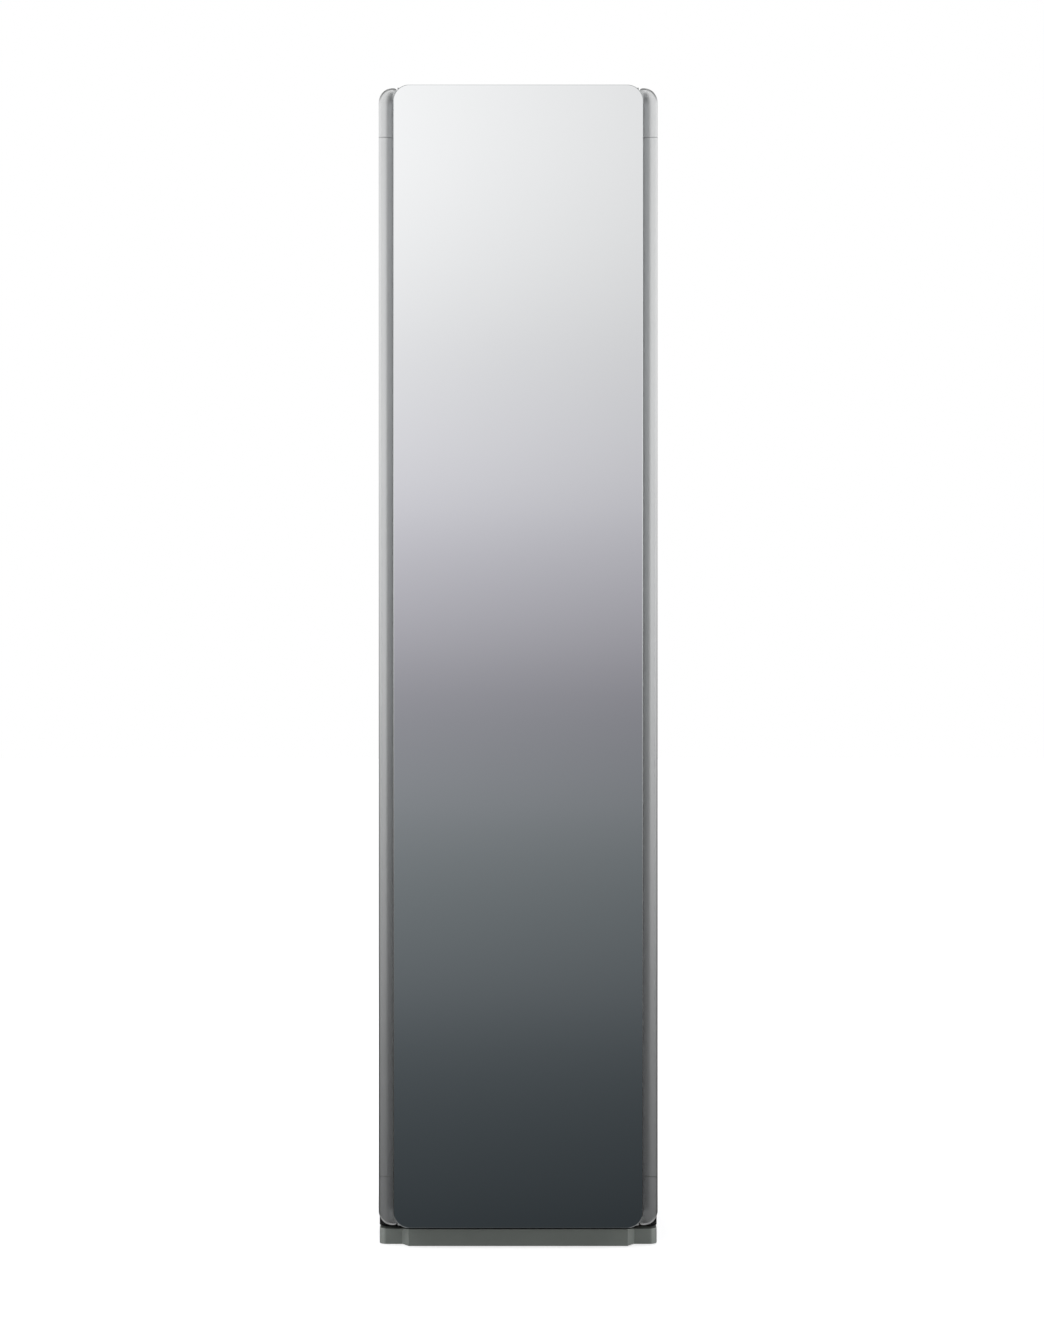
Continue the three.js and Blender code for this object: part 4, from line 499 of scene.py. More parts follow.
def spangled(name, colour):
    """Zinc plate: each crystal is a cell of a Voronoi pattern with its own brightness and gloss."""
    f = Finish(name)
    where = f.place_on_object()
    crystal = f.node("ShaderNodeTexVoronoi", {}, {"Vector": where, "Scale": 70.0}, output="Color")
    bright = f.node("ShaderNodeSeparateColor", {}, {0: crystal})
    return f.surface(
        Base_Color=f.blend(bright, rgba(colour, 0.82), rgba(colour, 1.12)),
        Metallic=0.6,
        Roughness=bright * 0.15 + 0.34,
        Normal=f.bump(f.noise(where, 500.0, 2.0), 0.05, 0.3 * mm),
    )


strip_paint = scooped_paint("door_metallic_paint", "e4e5e5", 216.5 * mm, 200 * mm)
back_paint = painted("mirror_back_paint", "d0d2d3", 0.0, 0.5)
# The paler second colour of the kick plate is a painted highlight on its ends and sideways faces.
kick_paint = kick_paint_with_painted_highlights("kick_plate_paint", "8b908b", "bfc4bf", 212 * mm, 216 * mm)
# The near-black front edge of the side sheets is painted shade for the gap behind the door.
side_paint = paint_with_shaded_front_edge("side_sheet_paint", "75787b", -220.5 * mm)
carrier_paint = painted("mirror_carrier_paint", "aeb0b2", 0.95, 0.20)
# The near-black front edge of the base pan is painted shade for the gap behind the door.
pan_paint = paint_with_shaded_front_edge("base_pan_paint", "2b2d30", -200 * mm)
cover_paint = painted("top_cover_paint", "75787b", 0.45, 0.40)
dark_paint = painted("stoved_black_paint", "2b2d30", 0.2, 0.45)
zinc = spangled("zinc_plated_sheet", "b4b8ba")
bar_steel = brushed("hanger_bar_steel", "a9adb0", (0.02, 1, 1), 0.28)
hinge_steel = brushed("hinge_steel", "8d9194", (1, 1, 0.1), 0.34)
aluminium = brushed("cast_aluminium", "c0c3c6", (1, 1, 0.06), 0.36)
hook_steel = brushed("polished_hook_steel", "c9ccce", (1, 1, 1), 0.16)
print("flakes in the paint: about", round(1000 / flake_scale, 2), "mm")

# %% [markdown]
# ## Mouldings, rubber and foam
#
# A moulding tool is spark-eroded, so the plastic comes out with a fine even grain and a slight change of
# tone where it cooled more slowly. Rubber is darker and rougher. Foam shows its cells.


# %% Finishes of plastics and rubber
grain_scale = 1500.0


def moulded(name, colour, roughness, grain=0.25, **more):
    """Moulded plastic or rubber: fine pits, and a slow change of tone over the piece."""
    f = Finish(name)
    where = f.place_on_object()
    tone = f.noise(where, 6.0, 2.0)
    pits = f.noise(where, grain_scale, 2.0, 0.6)
    return f.surface(
        Base_Color=f.blend(tone, rgba(colour, 0.94), rgba(colour, 1.05)),
        Roughness=tone * 0.08 + pits * 0.08 + (roughness - 0.08),
        Normal=f.bump(pits, grain, 0.15 * mm),
        **more,
    )


light_moulding = moulded("light_moulding", "d3d5d6", 0.5)
grey_moulding = moulded("grey_moulding", "85888b", 0.52)
dark_moulding = moulded("dark_moulding", "303336", 0.5)
black_moulding = moulded("black_moulding", "101112", 0.55)
water_plastic = moulded("smoky_tank_plastic", "a9b0b4", 0.2, 0.04, Alpha=0.58)
lens_plastic = moulded("lamp_lens", "f4f3ea", 0.3, 0.05, Emission_Color=rgba("fff8e6"),
                       Emission_Strength=0.35)
soft_rubber = moulded("black_rubber", "222324", 0.75, 0.35)
gasket_rubber = moulded("grey_gasket_rubber", "5d6063", 0.7, 0.3)


def foamed(name, colour):
    """Foam: each cell is painted darker towards its middle, a painted shade in its hollow, and is deeper
    there, by the distance from a Voronoi point.
    """
    f = Finish(name)
    # Painted shade: the hollow middle of each cell is painted darker.
    cells = f.node("ShaderNodeTexVoronoi", {}, {"Vector": f.place_on_object(), "Scale": 320.0})
    return f.surface(
        Base_Color=f.blend(cells, rgba(colour, 0.8), rgba(colour, 1.0)),
        Roughness=0.9,
        Normal=f.bump(cells, 0.6, 1 * mm),
    )


foam = foamed("insulation_foam", "e6dfc8")
print("grain of the mouldings: about", round(1000 / grain_scale, 2), "mm")

# %% [markdown]
# ## Mirror, wood, board and copper
#
# The mirror is silvered glass: a clean metallic surface that shows its surroundings, with the faintest
# haze. Wood is drawn out along the hanger with rings that waver. The touch board has copper tracks
# under its green lacquer, and the gas pipe is copper that has dulled in places.


# %% Finishes of the mirror, wood, board and copper
def silvered(name, colour, roughness):
    """Silvered glass as a clean metallic surface, whose haze changes its roughness by up to 0.01."""
    f = Finish(name)
    haze = f.noise(f.place_on_object(), 5.0, 3.0)
    return f.surface(Base_Color=f.blend(haze, rgba(colour, 0.99), rgba(colour, 1.0)), Metallic=1.0,
                     Roughness=haze * 0.01 + roughness)


def grained(name, dark, light, stretch):
    """Wood: bands of a wave that a noise bends, stretched along the grain, with fine pores across it."""
    f = Finish(name)
    where = f.place_on_object(stretch)
    bend = f.noise(where, 14.0, 4.0)
    rings = {"Vector": where, "Scale": 26.0, "Distortion": 9.0, "Detail": 3.0, "Detail Scale": 1.4}
    bands = f.node("ShaderNodeTexWave", {"wave_type": "BANDS", "bands_direction": "Z"}, rings, output=1)
    pores = f.noise(where, 420.0, 2.0)
    return f.surface(
        Base_Color=f.blend(bands * 0.6 + bend * 0.4, rgba(dark), rgba(light)),
        Roughness=pores * 0.15 + 0.3,
        Coat_Weight=0.25,
        Normal=f.bump(pores, 0.08, 0.3 * mm),
    )


def tracked(name):
    """Circuit board: its tracks are the edges of stretched square cells, seen through green lacquer."""
    f = Finish(name)
    cells = f.node("ShaderNodeTexVoronoi", {"distance": "CHEBYCHEV"},
                   {"Vector": f.place_on_object((1, 1, 0.4)), "Scale": 160.0})
    tracks = cells > 0.42
    return f.surface(Base_Color=f.blend(tracks, rgba("14472c"), rgba("3b8a55")), Roughness=0.3,
                     Normal=f.bump(tracks, 0.3, 0.1 * mm))


def tarnished(name):
    """Copper gone dull in places: a slow noise changes its colour and roughness."""
    f = Finish(name)
    dull = f.noise(f.place_on_object(), 30.0, 4.0)
    return f.surface(Base_Color=f.blend(dull, rgba("8a4f2e"), rgba("c9835a")), Metallic=1.0,
                     Roughness=dull * 0.3 + 0.2)


mirror = silvered("silvered_mirror", "f6f7f8", 0.012)
ground_edge = silvered("ground_glass_edge", "e4e8e8", 0.12)
beech = grained("varnished_beech", "6f4524", "a9733f", (1, 0.12, 1))
board = tracked("green_board")
copper = tarnished("gas_copper")
print("mirror finish:", mirror.name)

# %% [markdown]
# ## Every solid gets a finish
#
# Before any piece is made again, each solid takes the finish of its material slot, so nothing is left bare.

# %% Finishes by slot
finish_of_slot = {
    "mirror_glass": mirror,
    "door_grey": strip_paint,
    "kick_grey": kick_paint,
    "zinc_steel": zinc,
    "dark_steel": dark_paint,
    "painted_side": side_paint,
    "light_plastic": light_moulding,
    "grey_plastic": grey_moulding,
    "dark_plastic": dark_moulding,
    "tank_plastic": water_plastic,
    "lens_plastic": lens_plastic,
    "black_rubber": soft_rubber,
    "foam_core": foam,
    "circuit_board": board,
    "copper_tube": copper,
    "cast_aluminium": aluminium,
    "hanger_wood": beech,
}
for name, thing in nodes.items():
    give(thing, finish_of_slot[slot_of_node[name]])
print("solids with a finish:", len(nodes))

# %% [markdown]
# ## The mirror
#
# The mirror is a plate of glass with rounded corners whose edge is ground round, as on all glass that
# hands reach. It is a skin over rounded rectangles that follow a quarter circle from the flat face to
# the rim. The face stays a separate flat area with sharp borders, or its reflection would bend near the
# edge. The plate hangs a little lower than its solid and so nearly hides the gap above the kick plate.

# %% Mirror glass
glass_middle, glass_half = middle_and_half("mirror_glass")
lower_reach = 2.5 * mm
glass_middle[2] -= lower_reach / 2
glass_half[2] += lower_reach / 2
glass_face = glass_middle[1] - glass_half[1]
glass_corner = 25 * mm
edge_radius, back_chamfer, glass_thickness = 0.9, 0.3, 4.0
edge_turn = np.radians(np.linspace(0, 90, 6))
front_rows = np.stack([edge_radius * (1 - np.sin(edge_turn)), edge_radius * (1 - np.cos(edge_turn))], -1)
back_rows = [[0.0, glass_thickness - back_chamfer], [back_chamfer, glass_thickness]]


def glass_ring(inset, deep):
    """The plate's outline, pulled in by `inset` and set back by `deep`, both in millimetres."""
    ring = rounded_ring(glass_middle[[0, 2]], glass_half[[0, 2]], glass_corner, inset * mm, 14)
    return upright(ring, glass_face + deep * mm)


glass = skin("mirror_glass_plate", [glass_ring(*row) for row in np.vstack([front_rows, back_rows])])
smooth_shading(glass, 8)
give(glass, mirror)
glass.data.materials.append(ground_edge)
glass.data.materials.append(back_paint)
facing = np.zeros(len(glass.data.polygons) * 3)
glass.data.polygons.foreach_get("normal", facing)
facing = facing.reshape(-1, 3)[:, 1]
number = np.where(facing < -0.99, 0, np.where(facing > 0.99, 2, 1))
glass.data.polygons.foreach_set("material_index", number.astype(np.int32))
place(glass, "door", "mirror_glass", "mirror_glass")
print("mirror:", [round(float(v) * 2000) for v in glass_half], "mm")

# %% [markdown]
# ## The door body
#
# Behind the mirror the door stands out at both sides. Its rim is rounded, and from there a shallow
# scoop falls away towards the mirror, so that fingers can reach behind the glass. The rim follows the
# rounded corners, but the scoop runs straight up, as an extruded trim's does, so its depth is a
# function of x alone: it grows with the square of the way across. Rings that follow the outline carry
# the rim, and one row of tall faces joins the upper edge to the lower one. The body is made once and
# then parted into two caps and two trims. It ends slightly above and below its solid, where the
# photograph shows its ends.


# %% Door body and its four parts
def parted(thing, name, cuts):
    """A copy of a closed body without what lies beyond each cut, a (point, normal), and closed there."""
    work = bmesh.new()
    work.from_mesh(thing.data)
    for point, normal in cuts:
        found = bmesh.ops.bisect_plane(work, geom=[*work.verts, *work.edges, *work.faces], dist=1e-7,
                                       plane_co=point, plane_no=normal, clear_outer=True)
        rim = [e for e in found["geom_cut"] if isinstance(e, bmesh.types.BMEdge)]
        bmesh.ops.contextual_create(work, geom=rim)
    return object_from(work, name)


def cut_away(thing, *tools):
    """Takes closed tool bodies out of a body, then removes the tools."""
    for tool in tools:
        hole = thing.modifiers.new("cut", "BOOLEAN")
        hole.operation = "DIFFERENCE"
        hole.solver = "EXACT"
        hole.object = tool
        applied(thing)
        bpy.data.objects.remove(tool)
    return thing


def box_body(name, low, high):
    """A plain block between two corners, used as a cutting tool."""
    (x0, y0, z0), (x1, y1, z1) = low, high
    ring = np.array([[x0, y0], [x1, y0], [x1, y1], [x0, y1]])
    return skin(name, [level(ring, z0), level(ring, z1)])


def rod_body(name, centre, radius, z0, z1):
    """A round cutting tool that stands on end."""
    angle = np.linspace(0, 2 * math.pi, 32, endpoint=False)
    ring = np.stack([centre[0] + radius * np.cos(angle), centre[1] + radius * np.sin(angle)], -1)
    return skin(name, [level(ring, z0), level(ring, z1)])


def hinge_tools(ledge_low, ledge_high, hole_low, hole_high):
    """Tools that cut a ledge for the hinge and a hole for its pin."""
    ledge = box_body("ledge", (-past_side, ledge_front, ledge_low), (past_side, 0, ledge_high))
    return [ledge, rod_body("pin_hole", pin, pin_hole_radius, hole_low, hole_high)]


def scoop(x):
    """Depth below the front: 0 on the rim, then scoop_depth times the square of the share of the way in."""
    across = (door_half[0] - np.abs(x) - rim_radius) / (scoop_inset - rim_radius)
    return np.where(across > 1.001, 0.0, scoop_depth * np.clip(across, 0, 1) ** 2)


def door_ring(inset, y):
    """The outline pulled in by `inset`, with points added on its level edges where the scoop ends."""
    corner_steps = 16
    quarters = rounded_ring(door_centre, door_half, door_corner, inset, corner_steps)
    quarters = quarters.reshape(4, corner_steps + 1, 2)
    x = door_half[0] - scoop_end * mm
    x = np.concatenate([x, -x[::-1]])
    top = np.column_stack([x, np.full(len(x), quarters[0, -1, 1])])
    bottom = np.column_stack([-x, np.full(len(x), quarters[2, -1, 1])])
    flat = np.vstack([quarters[0], top, quarters[1], quarters[2], bottom, quarters[3]])
    return upright(flat, y)


def door_body():
    """Rings from the back over the rim, a level back, and tall faces between paired points of the front."""
    rings = [door_ring(0.0, body_back)]
    for turned in np.radians(np.linspace(0, 90, 9)):
        pulled_in, set_back = rim_radius * (1 - math.cos(turned)), rim_radius * (1 - math.sin(turned))
        ring = door_ring(pulled_in, body_front + set_back)
        ring[:, 1] += scoop(ring[:, 0])
        rings.append(ring)
    rings = np.asarray(rings)
    rows, columns = rings.shape[:2]
    first, last = (rows - 1) * columns, rows * columns - 1
    faces = grid_faces(rows, columns) + [list(range(columns))[::-1]]
    faces += [[first + i, first + i + 1, last - i - 1, last - i] for i in range(columns // 2 - 1)]
    return closed_body("whole_door", rings, faces)


upper_low, upper_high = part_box("door_upper_cap")
lower_low, lower_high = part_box("door_lower_cap")
trim_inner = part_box("door_side_trim_right")[0].x
above_solid, below_solid = 0.9 * mm, 3.8 * mm
door_top, door_bottom = upper_high.z + above_solid, lower_low.z - below_solid
door_centre = (0.0, (door_top + door_bottom) / 2)
door_half = (upper_high.x, (door_top - door_bottom) / 2)
door_corner, rim_radius, scoop_inset, scoop_depth = 24 * mm, 4 * mm, 30 * mm, 10 * mm
scoop_end = np.array([25.0, 26.25, 27.5, 28.75, 30.0, 30.1])
body_front, body_back = upper_low.y, upper_high.y
whole_door = door_body()
seam = 0.5 * mm
up, down = (0, 0, 1), (0, 0, -1)
trim_ends = [((0, 0, upper_low.z - seam), up), ((0, 0, lower_high.z + seam), down)]
door_parts = {
    "door_upper_cap": [((0, 0, upper_low.z), down)],
    "door_lower_cap": [((0, 0, lower_high.z), up)],
    "door_side_trim_right": [*trim_ends, ((trim_inner, 0, 0), (-1, 0, 0))],
    "door_side_trim_left": [*trim_ends, ((-trim_inner, 0, 0), (1, 0, 0))],
}
hinge_low, hinge_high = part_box("upper_hinge")
bracket_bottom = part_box("lower_hinge")[0].z
pin_inset, pin_hole_radius, pin_reach = 9 * mm, 4.3 * mm, 29 * mm
ledge_height, ledge_front = 7 * mm, body_front + 9 * mm
pin = (hinge_low.x + pin_inset, hinge_low.y + pin_inset)
past_side, past_top = 0.3, 2.0
hinge_room = {
    "door_upper_cap": (hinge_high.z - ledge_height, past_top, hinge_high.z - pin_reach, hinge_high.z),
    "door_lower_cap": (0, bracket_bottom + ledge_height, bracket_bottom, bracket_bottom + pin_reach),
}
for node, cuts in door_parts.items():
    piece = parted(whole_door, f"{node}_shell", cuts)
    if node in hinge_room:
        cut_away(piece, *hinge_tools(*hinge_room[node]))
    level_faces(applied(rounded(piece, 0.1 * mm, 30)))
    give(piece, strip_paint)
    place(piece, "door", "door_grey", node)
bpy.data.objects.remove(whole_door)
print("door seams at", round(upper_low.z * 1000, 1), "and", round(lower_high.z * 1000, 1), "mm")

# %% [markdown]
# ## The shell and the kick plate
#
# These shapes are already right in the solids: folded sheet with small radii. Their copies get the radii.
# The kick plate's skirt is drawn down to just above the floor, and the tops of its ends slope to the front.

# %% Softened shell
for node, finish, width in [
    ("kick_plate", kick_paint, 0.9),
    ("side_panel_left", side_paint, 0.5), ("side_panel_right", side_paint, 0.5),
    ("top_cover", cover_paint, 0.6), ("rear_panel", zinc, 0.4), ("base_pan", pan_paint, 0.6),
    ("upper_hinge", hinge_steel, 0.5), ("lower_hinge", hinge_steel, 0.5), ("tank_bay", dark_moulding, 0.6),
    ("levelling_foot_left", black_moulding, 0.6), ("levelling_foot_right", black_moulding, 0.6),
    ("mirror_carrier", carrier_paint, 0.8),
]:
    softened(node, finish, width * mm)
kick = bpy.data.objects["kick_plate_soft"].data
corners = points_of(kick)
x, y, z = corners.T
skirt_height, top_height, ends_from, back_edge = 6 * mm, 24 * mm, 182.3 * mm, -203 * mm
skirt_drop, tops_drop = 1.2 * mm, 2.4 * mm
skirt = z < skirt_height
end_tops = (z > top_height) & (np.abs(x) > ends_from) & (y < back_edge)
z[skirt] -= skirt_drop
z[end_tops] -= tops_drop
kick.vertices.foreach_set("co", corners.ravel())
print("kick plate's lower edge at", round(float(z.min()) * 1000, 1), "mm")

# %% [markdown]
# ## The door gasket
#
# The gasket is a rubber bellows: a flat lip with a magnet in it lies on the cabinet, and a folded neck
# behind it lets the lip follow. One cross-section is swept round a rounded rectangle, so it is a grid
# closed both ways.


# %% Gasket
def loop(name, rings):
    """A closed tube: each row is a ring, each ring is closed, and the last row joins the first."""
    rings = np.asarray(rings, float)
    rows, columns = rings.shape[:2]
    faces = grid_faces(rows + 1, columns)
    faces = [[point % (rows * columns) for point in face] for face in faces]
    made = closed_body(name, rings, faces)
    smooth_shading(made, 50)
    return made


def gasket_ring(inset, deep):
    """The gasket's outline, pulled in by `inset` and set back from the lip by `deep`, in millimetres."""
    ring = rounded_ring(gasket_middle[[0, 2]], gasket_half[[0, 2]], 20 * mm, inset * mm, 10, 4 * mm)
    return upright(ring, lip_face - deep * mm)


gasket_middle, gasket_half = middle_and_half("door_gasket")
lip_face = gasket_middle[1] + gasket_half[1]
gasket_width = 12.0
half_section = [
    (5.2, 0.0), (1.0, 0.0), (0.25, 0.35), (0.0, 1.0), (0.0, 3.0), (0.4, 3.8), (1.4, 4.1), (3.6, 4.2),
    (4.1, 4.8), (3.2, 5.6), (2.9, 6.2), (3.3, 6.9), (4.2, 7.5), (3.4, 8.2), (2.9, 8.9), (3.0, 9.4)]
other_half = [(gasket_width - inset, deep) for inset, deep in half_section[::-1]]
section = half_section + other_half + [(gasket_width / 2, 0.35)]
gasket = loop("door_gasket_bellows", [gasket_ring(*point) for point in section])
give(gasket, gasket_rubber)
place(gasket, "door", "black_rubber", "door_gasket")
print("gasket section points:", len(section))

# %% [markdown]
# ## Clothes hangers
#
# A coat hanger is turned and bent from beech. Its shoulders droop as the 1.4th power of the way out,
# grow wider towards their ends so that cloth doesn't crease, and are flatter below than above. A
# polished wire hook screws into a ferrule at the neck, and a round bar for trousers joins the arms. The
# named lengths are in millimetres.


# %% Hangers
arm_reach, arm_droop, neck_drop = 205.0, 75.0, 50.0
hook_bend, hook_wire, hook_tip = 10.5, 2.0, 1.2
rod_reach, rod_drop = 172.0, 4.0


def droop(share):
    """Height lost along an arm: arm_droop times the share of the arm's length, to the power 1.4."""
    return arm_droop * mm * np.abs(share) ** 1.4


def shoulder_rings(x, y, neck_z, reach):
    """Ovals along both arms, at shares s of an arm, 8 + 10 s^2 mm to each side and 9 - 3 |s| mm up.

    Below the middle an oval is flattened to 0.72 of its height. Past an arm's end, over 3 per cent of the
    reach, both sizes close as a square root does.
    """
    share = np.linspace(-1, 1, 61)
    share = np.concatenate([[-1.026, -1.016], share, [1.016, 1.026]])
    close = np.clip((1.03 - np.abs(share)) / 0.03, 0, 1) ** 0.5
    half_x = (8 + 10 * share ** 2) * mm * close
    half_z = (9 - 3 * np.abs(share)) * mm * close
    angle = np.linspace(0, 2 * math.pi, 28, endpoint=False)
    across, up = np.cos(angle), np.sin(angle)
    up = np.where(up < 0, up * 0.72, up)
    px = x + half_x[:, None] * across
    py = np.broadcast_to((y + reach * share)[:, None], px.shape)
    pz = (neck_z - droop(share))[:, None] + half_z[:, None] * up
    return np.stack([px, py, pz], -1)


def tube(name, path, radius, sides=16):
    """A round bar along a path in a plane of constant x, with each ring square to the path's tangent."""
    path = np.asarray(path, float)
    along = np.gradient(path, axis=0)
    along /= np.linalg.norm(along, axis=1)[:, None]
    sideways = np.broadcast_to(np.array([1.0, 0.0, 0.0]), along.shape)
    upward = np.cross(along, sideways)
    angle = np.linspace(0, 2 * math.pi, sides, endpoint=False)
    radius = np.broadcast_to(np.asarray(radius, float), (len(path),))
    rings = path[:, None] + radius[:, None, None] * (
        np.cos(angle)[None, :, None] * sideways[:, None] + np.sin(angle)[None, :, None] * upward[:, None])
    return skin(name, rings)


def hook_of(node, x, y, neck_z):
    """A wire that rises from the neck and turns round the bar, from -60 to 205 degrees."""
    bend = hook_bend * mm
    turned = np.radians(np.linspace(-60, 205, 40))
    foot = [(x, y, z) for z in np.linspace(neck_z, bar_height - 1.6 * bend, 6)]
    ease = [(x, y + bend * 0.18, bar_height - 1.25 * bend)]
    swan = [(x, y + bend * math.cos(t), bar_height + bend * math.sin(t)) for t in turned]
    tip = [(x, swan[-1][1] - 0.6 * mm, swan[-1][2] - 1.2 * mm)]
    wire = [hook_wire * mm] * (len(foot) + len(ease) + len(swan)) + [hook_tip * mm]
    return tube(f"{node}_hook", foot + ease + swan + tip, wire)


def ferrule_of(node, x, y, neck_z):
    """A turned collar on the neck; each row is a radius and a height above it, in millimetres."""
    rows = [(4.6, 6.5), (5.2, 7.2), (5.2, 9.6), (4.0, 10.4), (4.0, 11.6), (2.3, 12.6)]
    circle = np.linspace(0, 2 * math.pi, 24, endpoint=False)
    return skin(f"{node}_ferrule", [
        level(np.stack([x + r * mm * np.cos(circle), y + r * mm * np.sin(circle)], -1), neck_z + up * mm)
        for r, up in rows])


def trouser_bar_of(node, x, y, neck_z):
    """A round bar with softened ends, set just below the arms where it meets them."""
    rod_z = neck_z - float(droop(rod_reach / arm_reach)) - rod_drop * mm
    half = np.array([90, rod_reach - 4, rod_reach - 1, rod_reach])
    along = np.concatenate([-half[::-1], [0], half]) * mm
    thick = np.array([3.4, 4.4, 5, 5, 5, 5, 5, 4.4, 3.4]) * mm
    return tube(f"{node}_trouser_bar", [(x, y + v, rod_z) for v in along], thick, 20)


def coat_hanger(node):
    """The wooden arms stand for the solid, and hook, ferrule and trouser bar ride on the same body."""
    low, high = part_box(node)
    x, y = (low.x + high.x) / 2, (low.y + high.y) / 2
    neck_z = bar_height - neck_drop * mm
    body = body_of_node[node]
    wood = skin(f"{node}_shoulders", shoulder_rings(x, y, neck_z, arm_reach * mm))
    place(give(wood, beech), body, "hanger_wood", node)
    place(give(hook_of(node, x, y, neck_z), hook_steel), body, "zinc_steel", node)
    place(give(ferrule_of(node, x, y, neck_z), hook_steel), body, "zinc_steel", node)
    place(give(trouser_bar_of(node, x, y, neck_z), beech), body, "hanger_wood", node)


bar_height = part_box("hanger_bar")[0].z + 9 * mm
for node in ("hanger_left", "hanger_middle", "hanger_right"):
    coat_hanger(node)
print("hanger bar at", round(bar_height * 1000), "mm")

# %% [markdown]
# ## Inside the cabinet and on the back of the door
#
# The mouldings, tanks and fittings keep their solids' shapes. Each gets the edge radius of its own kind:
# about a millimetre on large mouldings, half of that on small ones, and a few tenths on sheet metal.

# %% Softened fittings
for node, finish, width in [
    ("door_inner_liner", light_moulding, 1.2), ("press_base", grey_moulding, 1.2),
    ("press_lid", light_moulding, 1.0), ("press_latch", dark_moulding, 0.6),
    ("trouser_hanger", dark_moulding, 0.8), ("inner_side_left", light_moulding, 0.6),
    ("inner_side_right", light_moulding, 0.6), ("inner_back", light_moulding, 0.6),
    ("inner_ceiling", light_moulding, 0.9), ("cavity_floor", grey_moulding, 0.9),
    ("interior_lamp", lens_plastic, 0.8), ("shelf", grey_moulding, 1.2),
    ("lint_filter", dark_moulding, 0.5), ("aroma_case", light_moulding, 0.6),
    ("steam_nozzle", dark_moulding, 0.5),
    ("supply_tank", water_plastic, 0.7), ("drain_tank", water_plastic, 0.7),
    ("supply_tank_lid", grey_moulding, 0.8), ("drain_tank_lid", dark_moulding, 0.8),
    ("hanger_bar", bar_steel, 0.5), ("drive_frame", zinc, 0.3), ("drive_motor", dark_paint, 0.5),
    ("crank_pulley", aluminium, 0.4), ("motor_pulley", aluminium, 0.3),
    ("control_box", grey_moulding, 0.8), ("compressor", dark_paint, 0.5),
    ("steam_generator", aluminium, 0.6), ("drain_pump", dark_moulding, 0.5),
    ("blower_housing", dark_moulding, 0.6), ("duct_tray", dark_moulding, 0.6),
]:
    softened(node, finish, width * mm)
print("fittings softened")

# %% [markdown]
# ## Screws
#
# Pan-head screws hold the rear panel. A head is a flattened dome with a cross cut into it, made once and
# then repeated: its points are copied to every place by adding the place to the whole array at once.


# %% Rear panel screws
def screw_head():
    """A dome of 24 sides that faces +Y, 4 mm in radius and 2.2 mm high, with a cross cut into it."""
    circle = np.linspace(0, 2 * math.pi, 24, endpoint=False)
    rows = [(4.0, 0.0), (4.0, 0.5), (3.7, 1.2), (3.0, 1.8), (1.8, 2.15), (0.6, 2.2)]
    head = skin("screw_head", [
        upright(np.stack([r * mm * np.cos(circle), r * mm * np.sin(circle)], -1), up * mm)
        for r, up in rows])
    for wide, tall in ((2.1, 0.45), (0.45, 2.1)):
        slot = box_body("slot", (-wide * mm, 1.1 * mm, -tall * mm), (wide * mm, 4 * mm, tall * mm))
        cut_away(head, slot)
    return head


def repeated(name, pattern, places):
    """One object that holds a copy of the pattern at every place."""
    points = points_of(pattern.data)
    faces = [list(face.vertices) for face in pattern.data.polygons]
    copies = (np.asarray(places, float)[:, None] + points[None]).reshape(-1, 3)
    joined = [[v + k * len(points) for v in face] for k in range(len(places)) for face in faces]
    bpy.data.objects.remove(pattern)
    made = make_object(name, copies, joined)
    smooth_shading(made, 35)
    return made


panel_low, panel_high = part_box("rear_panel")
emboss_height, from_side, from_end = 4.7 * mm, 9 * mm, 25 * mm
back_flat = panel_high.y - emboss_height
screw_x = panel_high.x - from_side
screw_z = np.linspace(panel_low.z + from_end, panel_high.z - from_end, 7)
screw_places = [(side * screw_x, back_flat, z) for side in (-1, 1) for z in screw_z]
heads = repeated("rear_panel_screws", screw_head(), screw_places)
place(give(heads, dark_paint), "cabinet", "zinc_steel")
print("screws:", len(screw_places))

# %% [markdown]
# ## The studio around the cabinet
#
# The studio is plain: a white surrounding that the camera sees, also through clear plastic, soft light from
# all sides, and for reflections a graded surrounding that goes from dark at floor level to white above, as
# the mirror shows. The world can give each kind of ray its own light, so no screens have to be built.


# %% World
backdrop_light = [
    (-0.9, "303335"), (-0.5, "5c5f62"), (-0.3, "484c4f"), (-0.22, "34383b"), (-0.155, "33383b"),
    (-0.10, "52575a"), (-0.045, "767a7d"), (0.0, "95949a"), (0.045, "c1c0c5"), (0.10, "dbdbdc"),
    (0.16, "ebebeb"), (0.45, "dedede"), (0.9, "d0d0d0")]
box_light = [
    (-0.9, "b0b0b0"), (-0.45, "8c8c8c"), (-0.3, "585858"), (-0.2, "4c4c4c"), (-0.12, "545454"),
    (-0.06, "b0b0b0"), (0.0, "ffffff"), (0.08, "ffffff"), (0.16, "ececec"), (0.35, "c4c4c4"),
    (0.8, "707070")]
side_light = [
    (-0.9, "a8a8a8"), (-0.45, "7c7c7c"), (-0.3, "343434"), (-0.2, "141414"), (-0.12, "202020"),
    (-0.06, "545454"), (0.0, "b8b8b8"), (0.05, "ffffff"), (0.16, "ffffff"), (0.35, "d0d0d0"),
    (0.8, "808080")]
boxes_from, boxes_full = 0.05, 0.2
sides_from, sides_full = 0.45, 0.75
even_strength, studio_strength, rear_share, lean_gain = 0.62, 1.085, 0.8, 2.6
even_colour = (0.98, 0.99, 1.0, 1)
white = (1, 1, 1, 1)


